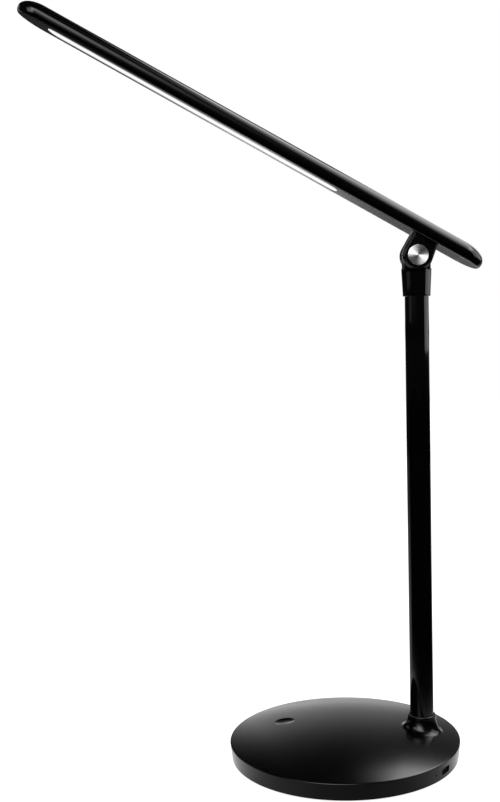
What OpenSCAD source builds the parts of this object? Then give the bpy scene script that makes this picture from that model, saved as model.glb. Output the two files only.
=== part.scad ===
// Folding desk lamp: a domed round base, a swivelling tube arm and a slim tilting LED head.
// Millimetres, +Z up. The origin is on the table under the centre of the base,
// the head reaches towards -X and the head hinge runs along Y.

/* [Base] */
// Largest diameter of the base, at its rim
base_d = 175; // [165:1:195]
// How far the side wall leans in towards its lower edge
base_taper = 1.4; // [0:0.1:4]
// Height of the rim above the table
rim_h = 13.4; // [13:0.1:18]
// Rise of the dome above the rim
dome_rise = 9; // [8:0.5:14]
// Wall thickness of the base shell
shell_t = 2.4; // [2:0.1:2.8]
// Rounding of the rim edge
rim_r = 0.8; // [0.4:0.1:1.2]
// Thickness of the bottom cover
cover_t = 2; // [1.6:0.1:2.4]
// Gap between the bottom cover and the shell
cover_gap = 0.2; // [0.1:0.05:0.4]
// Distance of the ballast plate's edge in from the rim
ballast_inset = 18.5; // [17:0.5:27]
// Thickness of the steel ballast plate
ballast_t = 6.5; // [4:0.5:8]

/* [Feet and base screws] */
// How far the rubber feet stand below the cover
foot_proud = 1; // [0.6:0.1:1.6]
// Diameter of a rubber foot
foot_d = 12; // [8:0.5:14]
// Depth of the feet's pockets in the cover
foot_pocket = 1; // [0.6:0.1:1.2]
// Distance of the feet in from the rim
foot_inset = 21.5; // [19.5:0.5:30]
// Number of rubber feet around the one in the middle
foot_count = 5; // [3:1:6]
// Distance of the cover screws in from the rim
screw_inset = 11; // [10.5:0.1:12.5]
// Thread diameter of the cover screws
screw_d = 3; // [2.5:0.5:3]
// Head diameter of the cover screws
screw_head_d = 5.5; // [5:0.1:6]
// Head height of the cover screws
screw_head_h = 1.8; // [1.4:0.1:2]
// Length of the cover screws under the head
screw_l = 7; // [5:0.5:7.5]

/* [Boot and swivel] */
// Distance of the arm's axis in from the rim
arm_inset = 28; // [27.5:0.5:31.5]
// Outer diameter of the boot's mouth
boot_mouth_d = 21; // [20.6:0.1:22]
// Diameter of the boot's foot, where it runs into the dome
boot_foot_d = 33; // [30:0.5:36]
// Height of the boot's mouth above the dome
boot_h = 11.2; // [10:0.2:16]
// Running clearance of the arm in the boot and the bush, on the radius
swivel_clear = 0.06; // [0.02:0.01:0.1]
// Wall of the swivel bush
bush_t = 1.4; // [1.2:0.1:1.5]
// Height of the swivel bush above its flange
bush_h = 9; // [6:0.5:10]
// Thickness of the bush's flange
bush_flange_t = 1.5; // [1:0.1:1.8]
// Diameter of the flange under the arm tube
swivel_flange_d = 24.4; // [23.5:0.1:25]
// Thickness of the flange under the arm tube
swivel_flange_t = 2; // [1.6:0.1:2.2]
// Thickness of the friction washer
wave_t = 0.8; // [0.6:0.1:1]
// Thickness of the steel retaining plate
plate_t = 1.2; // [1:0.1:1.4]
// Diameter of the steel retaining plate
plate_d = 44; // [43:0.5:45]
// Distance of the plate's screws from the arm's axis
plate_screw_r = 18.5; // [18.2:0.1:18.8]
// Swivel of the arm to each side
swivel_range = 90; // [45:5:90]

/* [Arm] */
// Outer diameter of the arm tube
arm_d = 17.8; // [17.4:0.1:18]
// Wall thickness of the arm tube
arm_wall = 1.4; // [1:0.1:1.6]
// Height of the head hinge above the table
pivot_z = 376.4; // [320:0.1:430]
// Height of the collar
collar_h = 20.2; // [16:0.2:26]
// Diameter of the collar at its top
collar_top_d = 22.4; // [22:0.1:23]
// Diameter of the collar at its bottom
collar_low_d = 20.5; // [20.2:0.1:21.4]
// Depth of the hinge plug in the tube
plug_depth = 40; // [36:1:60]
// Clearance of parts that are pushed together, on the radius
push_clear = 0.05; // [0.03:0.01:0.1]

/* [Hinge] */
// Diameter of the fork's cheeks
cheek_d = 22.6; // [22:0.1:23]
// Diameter of a cheek's outer face
cheek_face_d = 19.2; // [18.6:0.1:20]
// Overall width of the fork
fork_w = 25.2; // [25:0.1:28]
// Depth of the chamfer around a cheek
cheek_chamfer = 3.4; // [2:0.1:4]
// How far the back of the fork's bracket leans in at the head
bracket_lean = 2.2; // [0:0.1:2.2]
// Width of the arm's lug between the cheeks
lug_w = 10.4; // [9.6:0.1:10.4]
// Diameter of the neck above the collar
neck_d = 21.4; // [21:0.1:21.8]
// Thickness of a friction washer
fric_t = 0.7; // [0.5:0.05:0.8]
// Diameter of the friction washers
fric_d = 17; // [14:0.5:18]
// Free play beside each friction washer
fric_play = 0.05; // [0.03:0.01:0.1]
// Clearance between the swinging cheeks and the neck
swing_clear = 0.5; // [0.4:0.05:0.7]
// Diameter of the hinge bolt
bolt_d = 5.9; // [5:0.1:6]
// Running clearance of the hinge bolt, on the radius
bolt_clear = 0.05; // [0.02:0.01:0.1]
// Diameter of the hinge bolt's head
bolt_head_d = 10.4; // [9:0.1:11]
// Thickness of the cheek under the bolt's head
cheek_web = 1.8; // [1.5:0.1:2]
// Diameter of the metal hinge caps
cap_d = 15; // [14:0.1:16]
// Thickness of the metal hinge caps
cap_t = 1.2; // [1:0.1:1.4]

/* [Head] */
// Tilt of the head above level, as drawn
head_tilt = 30; // [0:1:45]
// Length of the head ahead of the hinge
head_front = 338; // [260:1:360]
// Length of the head behind the hinge
head_tail = 45.5; // [42:0.5:60]
// Width of the head
head_w = 36; // [34:0.5:42]
// Distance from the hinge's axis to the underside of the head
head_off = 13.2; // [13:0.1:15]
// Height of the head's lower edge, from the underside to its widest line
head_edge_h = 4.2; // [3.8:0.1:5]
// Height of the head's top shell above its widest line
head_dome_h = 9; // [8.6:0.1:11]
// How far the underside is narrower than the head, on each side
head_edge_in = 2; // [1:0.1:3]
// Wall thickness of the head's shells
head_t = 1.6; // [1.2:0.1:1.8]
// Width of the diffuser
diffuser_w = 19.4; // [16:0.2:20]
// Distance from the hinge to the near end of the diffuser
diffuser_near = 74; // [60:1:100]
// Distance from the tip of the head to the far end of the diffuser
diffuser_tip_gap = 26; // [20:1:60]
// Thickness of the diffuser, with the flange that holds it
diffuser_t = 2.4; // [2.3:0.1:2.8]
// Play around the diffuser
diffuser_play = 0.1; // [0.05:0.01:0.2]
// Number of LEDs
led_count = 24; // [12:1:24]
// Distance of the tail screws behind the hinge
tail_screw_x = 29.5; // [26:0.5:30]
// Distance of each tail screw from the head's middle
tail_screw_y = 10.5; // [8:0.5:11]

/* [Power inlet and touch control] */
// Direction of the power inlet, from +X
inlet_az = -37.3; // [-40:0.1:-35]
// Width of the inlet's window
window_w = 10.6; // [10:0.1:12]
// Height of the inlet's window
window_h = 4.8; // [4.4:0.1:5.2]
// Height of the inlet's centre above the table
inlet_z = 6.8; // [6.7:0.1:7]
// How far the socket's mouth lies behind the side wall
inlet_recess = 1; // [0.6:0.1:1.4]
// Outer width of the socket's metal shell
socket_w = 8.94; // [8.7:0.02:9.2]
// Outer height of the socket's metal shell
socket_h = 3.26; // [3.2:0.02:3.4]
// Length of the socket's metal shell
socket_l = 7.4; // [6.5:0.1:9]
// Sheet thickness of the socket's metal shell
socket_t = 0.3; // [0.2:0.05:0.35]
// Width of the contact tongue in the socket
tongue_w = 6.7; // [6:0.1:7]
// Thickness of the contact tongue
tongue_t = 0.7; // [0.5:0.1:0.9]
// Direction of the touch dish, from +X
dish_az = 158.1; // [120:1:240]
// Distance of the touch dish in from the rim
dish_inset = 38.3; // [30:0.1:55]
// Diameter of the touch dish
dish_d = 16; // [12:0.5:18]
// Depth of the touch dish
dish_depth = 1.2; // [0.8:0.1:1.4]

/* [Leads] */
// Diameter of the lamp's inner lead
lead_d = 2.4; // [1.8:0.1:2.6]
// Clearance of the lead in its channels, on the radius
lead_clear = 0.4; // [0.3:0.05:0.5]

/* [Hidden] */
$fn = 96;
eps = 0.01;
over = 1; // how far a cutter reaches past the face it cuts
black = [0.03, 0.03, 0.035];
steel = [0.72, 0.73, 0.75];
copper = [0.72, 0.45, 0.25];
white = [0.93, 0.93, 0.9];
pcb_green = [0.08, 0.3, 0.16];

// Base heights and radii
rim_rad = base_d / 2;
cover_z = foot_proud;
cover_top = cover_z + cover_t;
low_rad = rim_rad - base_taper;
wall_lean = atan(base_taper / (rim_h - cover_z));
dome_rad = (rim_rad * rim_rad + dome_rise * dome_rise) / (2 * dome_rise);
dome_c = rim_h + dome_rise - dome_rad;
rim_slope = asin(rim_rad / dome_rad);
arm_x = rim_rad - arm_inset;
foot_slope = asin(arm_x / dome_rad);
dome_steps = 20;
edge_steps = 5;
least_edge = 0.05;
boss_inset = 0.8;
post_r = 3.4;
cover_rad = low_rad - shell_t - cover_gap;
foot_ring_r = rim_rad - foot_inset;
ballast_rad = rim_rad - ballast_inset;
ballast_gap = 2.5;

// Screws: small ones inside, and cover screws in seats raised from the cover
thread_bite = 0.1;
hole_clear = 0.2;
head_clear = 0.3;
tip_gap = 0.2;
small_screw_d = 2.5;
small_screw_l = 6;
small_head_d = 4.6;
small_head_h = 1.5;
small_r = small_screw_d / 2;
screw_az = [28, 110, 190, 290];
screw_ring_r = rim_rad - screw_inset;
head_sink = 0.4;
screw_seat_z = cover_z + screw_head_h + head_sink;
screw_seat_t = 1.4;
screw_seat_wall = 1.6;
screw_top = screw_seat_z + screw_seat_t;
hex_key_r = 1.1;
hex_key_depth = 1.1;

// Swivel heights, from the retaining plate up
plate_z = cover_top + small_head_h + head_sink;
wave_z = plate_z + plate_t;
flange_z = wave_z + wave_t;
tube_z = flange_z + swivel_flange_t;
bush_play = 0.05;
bush_z = tube_z + bush_play;
hub_z = bush_z + bush_flange_t;
arm_r = arm_d / 2;
arm_in_r = arm_r - arm_wall;
bush_in_r = arm_r + swivel_clear;
bush_out_r = bush_in_r + bush_t;
flange_r = swivel_flange_d / 2;
hub_wall = 3.2;
hub_r = bush_out_r + hub_wall;
dome_at_arm = dome_c + sqrt(dome_rad * dome_rad - arm_x * arm_x);
mouth_z = dome_at_arm + boot_h;
mouth_flare = 0.6;
lip_r = 0.5;
lip_steps = 3;
flare_step = 10;
flare_skirt = 1;
stop_half = 12;
stop_tab_half = 4;
stop_play = 1;
stop_gap = 0.4;
stop_r = flange_r + 2;
plate_hole_r = 5;
plate_screw_az = [60, 180, 300];
wave_inset = 0.7;
spigot_l = 14;
flange_hole_clear = 0.6;

// Hinge and arm heights
collar_lap = 1.9;
collar_top = pivot_z - cheek_d / 2 + collar_lap;
collar_low = collar_top - collar_h;
collar_hood = 4.6;
tube_top = collar_top - collar_hood;
neck_r = neck_d / 2;
swing_r = cheek_d / 2 + swing_clear;
cheek_in = lug_w / 2 + fric_t + 2 * fric_play;
pocket_y = cheek_in + cheek_web;
fork_y = fork_w / 2;
cap_y = fork_y - cap_t;
spring_t = 0.8;
spring_lap = 0.2;
spring_cone = 0.6;
cap_gap = 0.2;
nut_t = cap_y - cap_gap - pocket_y - spring_t;
bolt_head_t = nut_t;
thread_short = 0.2;
pocket_room = 1.4;
pocket_d = bolt_head_d + pocket_room;
bolt_key_r = 2.2;
bolt_key_depth = bolt_head_t * 0.7;
cap_edge = 0.3;
bolt_hole_r = bolt_d / 2 + bolt_clear;
lead_hole_r = lead_d / 2 + lead_clear;
groove_w = lead_d + 2 * lead_clear;
groove_r = 5.7;
groove_start = 25;
groove_end = 195;
channel_web = 0.9;
channel_x = -(bolt_hole_r + channel_web + lead_hole_r);
channel_foot = -16.6;
channel_knee = -7;
channel_top = 4.5;
bore_end = -16;
lug_gap = 0.6;
web_z = neck_r + lug_gap;
lug_screw_drop = 10;
lug_screw_start = 3.2;
lug_screw_clear = 0.1;

// Head levels, measured from the hinge's axis with the head level
edge_z = head_off + head_edge_h;
top_z = edge_z + head_dome_h;
head_r = head_w / 2;
front_c = -(head_front - head_r);
tail_c = head_tail - head_r;
frame_top = head_off + head_t;
plan_steps = 14;
lip_t = 1;
lip_h = 1.4;
lip_gap = 0.15;
diff_near = -diffuser_near;
diff_far = -(head_front - diffuser_tip_gap);
diff_r = diffuser_w / 2;
wall_in = head_r - head_t;
lip_lean = 0.25;
lip_root = 0.2;
low_steps = 6;
flange_in = 1.4;
flange_t = diffuser_t - head_t;
reflector_t = 0.8;
reflector_play = 0.05;
reflector_lap = 0.2;
reflector_lean = 0.3;
board_w = 12;
board_t = 1;
board_past_far = 1;
board_past_near = 4;
backbone_t = 1.5;
backbone_w = 15;
led_t = 0.7;
led_l = 3.5;
led_w = 2.8;
roof_gap = 0.3;
backbone_z = top_z - head_t - small_head_h - roof_gap - backbone_t;
led_board_z = backbone_z - board_t;
led_z = led_board_z - led_t;
backbone_tail = tail_screw_x - 6;
backbone_front = diff_far - 2;
tail_head_d = 4;
tail_head_h = 0.7;
tail_head_z = head_off + 0.8;
tail_screw_l = 5;
tail_key_r = 0.9;
tail_key_depth = 0.6;
tail_post_r = 2.6;
tail_post_gap = 0.1;
tail_hole_top = 6;
post_x = 5.8;
post_hole_depth = 6.5;
fork_post_r = 2.6;
fork_lead_clear = 0.2;

// Power inlet, in a frame turned to inlet_az
wall_at_inlet = low_rad + (inlet_z - cover_z) * tan(wall_lean);
socket_mouth = wall_at_inlet - inlet_recess;
socket_back = socket_mouth - socket_l;
socket_base_t = 1.4;
well_t = 1;
window_r = 1;
window_l = 4;
tongue_gap = 0.6;
board_z = inlet_z + socket_h / 2;
board_l = 31;
board_half = 13;
board_gap = 0.4;
board_front = wall_at_inlet - window_l - board_gap;
board_back = board_front - board_l;
main_board_t = 1.6;
pin_hole_az = -8.5;
pin_hole_d = 1.6;
pin_hole_depth = 1.2;
board_post_x = board_back + 12;
board_post_y = 9.5;
board_post_r = 2.6;
board_screw_l = main_board_t + 2.4;
// Parts under the board: from the board's back edge, from the middle, and how far they hang down
chip = [14, 20, -5, 2, 3.2];
regulator = [4, 9, -2, 3, 1.4];
capacitor_at = [6, -7.5];
capacitor_r = 2.5;
capacitor_l = 4.4;

// Touch dish and the pad under it
dish_r = rim_rad - dish_inset;
dish_ball = (dish_d * dish_d / 4 + dish_depth * dish_depth) / (2 * dish_depth);
pad_inset = 1;
pad_r = dish_d / 2 - pad_inset;
pad_t = 0.5;
pad_play = 0.02;
pad_gap = pad_play + pad_r * pad_r / (2 * (dome_rad - shell_t));
pad_under = shell_t + pad_gap + pad_t;
pad_slope = asin(dish_r / dome_rad);

// Where the inner leads leave the board: along it from its back edge, across it, and the end's height
base_lead_at = [1.5, 9.8];
touch_wire_at = [3.9, 4];
lead_end = on_board(base_lead_at, board_z);
wire_end = on_board(touch_wire_at, board_z + main_board_t);
lead_way = [lead_end[0] - arm_x, lead_end[1]];
lead_slot_az = atan2(lead_way[1], lead_way[0]);
lead_join_z = flange_z + 0.5;

// The base lead's route: shares of the way from the arm's axis to the board, and heights above the cover
base_lead_steps = [[1, 4.2], [0.96, 2.6], [0.87, 1.8], [0.72, 1.6], [0.49, 1.6], [0.23, 1.6],
    [0.075, 1.9], [0.02, 2.7], [0, 3.6]];
// The touch wire's route: shares of the way from the pad to the board, bulges to the side,
// and heights above the ballast plate
wire_steps = [[0.003, 0, 5.3], [0.025, 0, 2.9], [0.064, 0, 1.1], [0.125, 0, 0.7], [0.26, -0.8, 0.7],
    [0.41, -0.9, 0.7], [0.56, -0.6, 0.7], [0.69, -0.3, 0.7], [0.78, 0, 1.1], [0.857, 0, 2.1],
    [0.922, 0, 2.9], [0.972, 0, 2.7], [1, 0, 1.9]];
lead_end_r = 10;
head_lead_route = [[0, 0, lead_end_r], [0, 0, 12.5], [0, 0, 14.6], [-0.6, 0.4, 16.2], [-2.4, 3.2, 17.3],
    [-6.2, 5.4, 17.6], [-10.5, 5, 17.6], [-15, 3.2, 17.7], [-24, 1, 18], [-40, 0, 19], [-56, 0, 19.8]];
head_lead_near = [9, 4];
head_lead_gap = 0.1;
wire_r = 0.6;
lead_sides = 8;
// The arm lead's bend into the channel: shares of the channel's offset, and levels from the hinge
arm_lead_steps = 9;
arm_lead_straight = -19;
arm_lead_bend = [[0.06, -16], [0.35, -12.6], [0.75, -8.8], [1, -5.6], [1, -2]];
arm_lead_end = -2;
hinge_lead_r = 8.1;
hinge_lead_from = 146;
hinge_lead_to = 76;
hinge_lead_step = -14;

function arc(c, r, a0, a1, n) =
    [for (i = [0 : n]) let (a = a0 + (a1 - a0) * i / n) [c[0] + r * cos(a), c[1] + r * sin(a)]];
function oval(rx, ry, a0, a1, n) =
    [for (i = [0 : n]) let (a = a0 + (a1 - a0) * i / n) [rx * cos(a), ry * sin(a)]];
function dome_z(r, inset = 0) = dome_c + sqrt(pow(dome_rad - inset, 2) - r * r);
function turn(p, a) = [p[0] * cos(a) - p[1] * sin(a), p[0] * sin(a) + p[1] * cos(a)];
function on_board(p, z) = let (q = turn([board_back + p[0], p[1]], inlet_az)) [q[0], q[1], z];

// Rings of a tube swept along a route of points
function tangent(p, i) =
    let (n = len(p), d = p[min(i + 1, n - 1)] - p[max(i - 1, 0)]) d / norm(d);
function side(t) = let (s = abs(t[2]) > 0.9 ? cross(t, [0, 1, 0]) : cross(t, [0, 0, 1])) s / norm(s);
function next_side(s, t) = let (v = s - (s * t) * t) v / norm(v);
function sides(p, i) = i == 0 ? [side(tangent(p, 0))]
    : let (before = sides(p, i - 1)) concat(before, [next_side(before[i - 1], tangent(p, i))]);
function rings(p, r, n) = let (s = sides(p, len(p) - 1))
    [for (i = [0 : len(p) - 1]) for (k = [0 : n - 1])
        let (t = tangent(p, i), a = 360 * k / n)
            p[i] + r * (cos(a) * s[i] + sin(a) * cross(t, s[i]))];

module swept_tube(p, r, n = lead_sides) {
    last = len(p) - 1;
    polyhedron(
        points = rings(p, r, n),
        faces = concat(
            [[for (k = [0 : n - 1]) k]],
            [for (i = [0 : last - 1]) for (k = [0 : n - 1])
                [i * n + k, (i + 1) * n + k, (i + 1) * n + (k + 1) % n, i * n + (k + 1) % n]],
            [[for (k = [n - 1 : -1 : 0]) last * n + k]]));
}

module at_arm(z = 0) translate([arm_x, 0, z]) children();
module at_pivot() translate([arm_x, 0, pivot_z]) children();
module in_head() at_pivot() rotate([0, head_tilt, 0]) children();
module at_inlet() rotate([0, 0, inlet_az]) children();
module along_y(y0, y1, r1, r2) translate([0, y0, 0]) rotate([-90, 0, 0])
    cylinder(h = y1 - y0, r1 = r1, r2 = r2);
module ring(h, r_out, r_in) difference() {
    cylinder(h = h, r = r_out);
    translate([0, 0, -eps]) cylinder(h = h + 2 * eps, r = r_in);
}
module box(x0, x1, y0, y1, z0, z1) translate([x0, y0, z0]) cube([x1 - x0, y1 - y0, z1 - z0]);
module at_screws() for (a = screw_az) rotate([0, 0, a]) translate([screw_ring_r, 0, 0]) children();
module at_plate_screws() at_arm() for (a = plate_screw_az) rotate([0, 0, a])
    translate([plate_screw_r, 0, 0]) children();
module at_feet() {
    children();
    for (i = [0 : foot_count - 1]) rotate([0, 0, 180 + 360 * i / foot_count])
        translate([foot_ring_r, 0, 0]) children();
}
module at_dish() rotate([0, 0, dish_az]) translate([dish_r, 0, dome_z(dish_r)])
    rotate([0, asin(dish_r / dome_rad), 0]) children();
module pan_screw(d, l, head_d, head_h) {
    translate([0, 0, -head_h]) cylinder(h = head_h, r = head_d / 2);
    translate([0, 0, -eps]) cylinder(h = l + eps, r = d / 2);
}

// ---- Base ----

// Solid of the domed base, drawn in by an inset, from a height z0 up
module dome_solid(inset, z0) {
    edge = max(rim_r - inset, least_edge);
    edge_c = rim_rad - inset - edge;
    edge_z = dome_z(edge_c, inset) - edge / cos(rim_slope);
    edge_arc = arc([edge_c, edge_z], edge, -wall_lean, 90 - rim_slope, edge_steps);
    start = edge_arc[edge_steps][0];
    rotate_extrude() polygon(concat(
        [[0, z0], [low_rad - inset + (z0 - cover_z) * tan(wall_lean), z0]],
        edge_arc,
        [for (i = [1 : dome_steps]) let (r = start * (1 - i / dome_steps)) [r, dome_z(r, inset)]]));
}

// Leans its children's level lines to the dome's slope at the arm, with their verticals kept upright
module lean_to_dome() at_arm(dome_at_arm)
    multmatrix([[1, 0, 0, 0], [0, 1, 0, 0], [-tan(foot_slope), 0, 1, 0], [0, 0, 0, 1]]) children();

// The boot's flare: a quarter of an oval that sweeps from upright at the mouth out into the dome
module flare() intersection() {
    reach = (boot_foot_d - boot_mouth_d) / 2;
    sunk = shell_t / 2;
    lean_to_dome() rotate_extrude() polygon(concat(
        [[0, boot_h]],
        [for (t = [0 : flare_step : 90 - flare_step]) let (r = boot_foot_d / 2 - reach * cos(t))
            [r, boot_h * (1 - sin(t)) - r * r / (2 * dome_rad)]],
        [[boot_foot_d / 2 + flare_skirt, -sunk / 2], [boot_foot_d / 2, -sunk], [0, -sunk]]));
    at_arm() cylinder(h = mouth_z - lip_r, r = boot_foot_d);
}

// The boot: its neck with the lip around the mouth, and the flare at its foot
module boot() {
    at_arm() rotate_extrude() polygon(concat(
        [[0, dome_at_arm - shell_t], [boot_mouth_d / 2, dome_at_arm - shell_t]],
        arc([boot_mouth_d / 2 - lip_r, mouth_z - lip_r], lip_r, 0, 90, lip_steps),
        [[0, mouth_z]]));
    flare();
}

// Posts that hang from the dome's inner side down to z0
module hang_from_dome(z0) intersection() {
    translate([0, 0, z0]) children();
    dome_solid(boss_inset, cover_z);
}

// A slab with rounded corners, seen along the inlet's direction, from x0 to x1
module inlet_slab(w, h, r, x0, x1) translate([x0, 0, inlet_z]) rotate([90, 0, 90]) linear_extrude(x1 - x0) {
    square([w - 2 * r, h], center = true);
    square([w, h - 2 * r], center = true);
    for (x = [-1, 1]) for (y = [-1, 1])
        translate([x * (w / 2 - r), y * (h / 2 - r)]) circle(r = r);
}

module at_board_posts() at_inlet() for (y = [-1, 1]) translate([board_post_x, y * board_post_y, 0])
    children();

module base_shell() color(black) difference() {
    union() {
        difference() {
            dome_solid(0, cover_z);
            dome_solid(shell_t, cover_z - eps);
        }
        boot();
        hang_from_dome(hub_z) at_arm() cylinder(h = dome_rad, r = hub_r);
        hang_from_dome(screw_top) at_screws() cylinder(h = dome_rad, r = post_r);
        hang_from_dome(plate_z + plate_t) at_plate_screws() cylinder(h = dome_rad, r = post_r);
        hang_from_dome(board_z + main_board_t) at_board_posts() cylinder(h = dome_rad, r = board_post_r);
        intersection() {
            at_inlet() inlet_slab(window_w + 2 * well_t, window_h + 2 * well_t, window_r + well_t,
                wall_at_inlet - window_l, rim_rad);
            dome_solid(boss_inset, cover_z);
        }
    }
    at_arm() cylinder(h = mouth_z + over, r = bush_in_r);
    at_arm(mouth_z - mouth_flare)
        cylinder(h = mouth_flare + eps, r1 = bush_in_r, r2 = bush_in_r + mouth_flare);
    at_arm() cylinder(h = bush_z + bush_flange_t + bush_h, r = bush_out_r);
    at_inlet() inlet_slab(window_w, window_h, window_r, wall_at_inlet - window_l - over, rim_rad + over);
    rotate([0, 0, inlet_az + pin_hole_az]) translate([wall_at_inlet - pin_hole_depth, 0, inlet_z])
        rotate([0, 90, 0]) cylinder(h = pin_hole_depth + over, r = pin_hole_d / 2);
    at_screws() translate([0, 0, cover_z]) cylinder(h = screw_seat_z + screw_l, r = screw_d / 2);
    at_plate_screws() cylinder(h = plate_z + small_screw_l, r = small_r);
    at_board_posts() cylinder(h = board_z + board_screw_l + tip_gap, r = small_r);
    at_dish() translate([0, 0, dish_ball - dish_depth]) sphere(r = dish_ball);
}

module base_cover() color(black) difference() {
    union() {
        translate([0, 0, cover_z]) cylinder(h = cover_t, r = cover_rad);
        translate([0, 0, cover_z]) at_screws()
            cylinder(h = screw_top - cover_z, r = screw_head_d / 2 + screw_seat_wall);
    }
    translate([0, 0, -eps]) {
        at_feet() cylinder(h = cover_z + foot_pocket + eps, r = foot_d / 2 + push_clear);
        at_screws() cylinder(h = screw_seat_z + eps, r = screw_head_d / 2 + head_clear);
        at_screws() cylinder(h = screw_top + over, r = screw_d / 2 + hole_clear);
    }
}

module ballast_plate() color(steel) difference() {
    room = plate_d / 2 + ballast_gap;
    translate([0, 0, cover_top]) cylinder(h = ballast_t, r = ballast_rad);
    at_arm() cylinder(h = rim_h * 2, r = room);
    at_arm() box(0, base_d, -room, room, 0, rim_h * 2);
    at_arm() rotate([0, 0, lead_slot_az])
        box(0, norm(lead_way) + ballast_gap, -ballast_gap, ballast_gap, 0, rim_h * 2);
    at_inlet() box(board_back - ballast_gap, base_d, -board_half - ballast_gap, arm_x * sin(-inlet_az),
        0, rim_h * 2);
}

module rubber_feet() color([0.06, 0.06, 0.06]) at_feet()
    cylinder(h = foot_proud + foot_pocket, r = foot_d / 2);

module cover_screws() color(steel) difference() {
    translate([0, 0, screw_seat_z]) at_screws()
        pan_screw(screw_d - 2 * thread_bite, screw_l, screw_head_d, screw_head_h);
    at_screws() translate([0, 0, screw_seat_z - screw_head_h - eps])
        cylinder(h = hex_key_depth, r = hex_key_r, $fn = 6);
}

// A part that hangs under the board
module board_part(p) box(board_back + p[0], board_back + p[1], p[2], p[3], board_z - p[4], board_z);

module main_board() color(pcb_green) difference() {
    at_inlet() {
        box(board_back, board_front, -board_half, board_half, board_z, board_z + main_board_t);
        board_part(chip);
        board_part(regulator);
        translate([board_back + capacitor_at[0], capacitor_at[1], board_z - capacitor_l])
            cylinder(h = capacitor_l, r = capacitor_r);
    }
    at_board_posts() cylinder(h = rim_h * 2, r = small_r + hole_clear);
}

module board_screws() color(steel) translate([0, 0, board_z]) at_board_posts()
    pan_screw(small_screw_d - 2 * thread_bite, board_screw_l, small_head_d, small_head_h);

// Metal shell of the power socket, open towards the side wall
module usb_socket() color(steel) at_inlet() difference() {
    inlet_slab(socket_w, socket_h, socket_h / 2 - eps, socket_back, socket_mouth);
    inlet_slab(socket_w - 2 * socket_t, socket_h - 2 * socket_t, socket_h / 2 - socket_t - eps,
        socket_back + socket_t, socket_mouth + over);
}

module socket_tongue() color(black) at_inlet() {
    inlet_slab(socket_w - 2 * socket_t, socket_h - 2 * socket_t, socket_h / 2 - socket_t - eps,
        socket_back + socket_t, socket_back + socket_t + socket_base_t);
    box(socket_back + socket_t, socket_mouth - tongue_gap, -tongue_w / 2, tongue_w / 2,
        inlet_z - tongue_t / 2, inlet_z + tongue_t / 2);
}

module touch_pad() color(copper) at_dish() translate([0, 0, -pad_under]) cylinder(h = pad_t, r = pad_r);

module touch_wire() color([0.8, 0.1, 0.1]) {
    top = [dish_r * cos(dish_az), dish_r * sin(dish_az), dome_z(dish_r) - pad_under / cos(pad_slope)]
        - pad_under * sin(pad_slope) * [cos(dish_az), sin(dish_az), 0];
    way = [wire_end[0] - top[0], wire_end[1] - top[1], 0];
    across = [-way[1], way[0], 0] / norm(way);
    swept_tube(concat([top],
        [for (w = wire_steps) [top[0], top[1], cover_top + ballast_t + w[2]] + w[0] * way + w[1] * across],
        [wire_end]), wire_r);
}

module base_lead() color(black) swept_tube(concat([lead_end],
    [for (w = base_lead_steps) [arm_x + w[0] * lead_way[0], w[0] * lead_way[1], cover_top + w[1]]],
    [[arm_x, 0, lead_join_z]]), lead_d / 2);

// ---- Swivel ----

module swivel_bush() color([0.85, 0.85, 0.82]) at_arm(bush_z) difference() {
    union() {
        cylinder(h = bush_flange_t, r = flange_r);
        cylinder(h = bush_flange_t + bush_h, r = bush_out_r - push_clear);
    }
    translate([0, 0, -eps]) cylinder(h = bush_h + bush_flange_t + over, r = bush_in_r);
}

// A tab: a sector of a ring about the arm's axis
module sector(h, r_in, r_out, az, half) rotate([0, 0, az - half])
    rotate_extrude(angle = 2 * half) translate([r_in, 0]) square([r_out - r_in, h]);

module swivel_plate() color(steel) at_arm(plate_z) difference() {
    union() {
        ring(plate_t, plate_d / 2, plate_hole_r);
        for (s = [-1, 1]) translate([0, 0, plate_t - eps])
            sector(wave_t + swivel_flange_t - stop_gap, flange_r + stop_gap, stop_r,
                s * (180 - swivel_range - stop_half - stop_tab_half - stop_play), stop_tab_half);
    }
    for (a = plate_screw_az) rotate([0, 0, a]) translate([plate_screw_r, 0, -eps])
        cylinder(h = plate_t + over, r = small_r + hole_clear);
    rotate([0, 0, lead_slot_az]) box(0, plate_d, -groove_w / 2, groove_w / 2, -eps, plate_t + over);
}

module plate_screws() color(steel) translate([0, 0, plate_z]) at_plate_screws()
    pan_screw(small_screw_d - 2 * thread_bite, small_screw_l, small_head_d, small_head_h);

module wave_washer() color(steel) at_arm(wave_z) ring(wave_t, flange_r - wave_inset, arm_r);

module swivel_flange() color(steel) at_arm(flange_z) difference() {
    union() {
        cylinder(h = swivel_flange_t, r = flange_r);
        cylinder(h = swivel_flange_t + spigot_l, r = arm_in_r - push_clear);
        sector(swivel_flange_t, arm_r, stop_r, 180, stop_half);
    }
    translate([0, 0, -eps])
        cylinder(h = swivel_flange_t + spigot_l + over, r = lead_hole_r + flange_hole_clear);
}

module arm_tube() color(black) at_arm() difference() {
    translate([0, 0, tube_z]) ring(tube_top - tube_z, arm_r, arm_in_r);
    lug_screw_hole(small_r + lug_screw_clear);
}

module lug_screw_hole(r) translate([0, 0, tube_top - lug_screw_drop]) rotate([0, 90, 0])
    cylinder(h = arm_d, r = r);

// ---- Hinge ----

// The space that the fork's cheeks and bracket swing through, as the head folds towards -X
module cheek_sweep() at_pivot() for (s = [0, 1]) mirror([0, s, 0]) {
    along_y(lug_w / 2, fork_w, swing_r, swing_r);
    box(-fork_w, 0, lug_w / 2, fork_w, -swing_r, neck_d);
}

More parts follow.
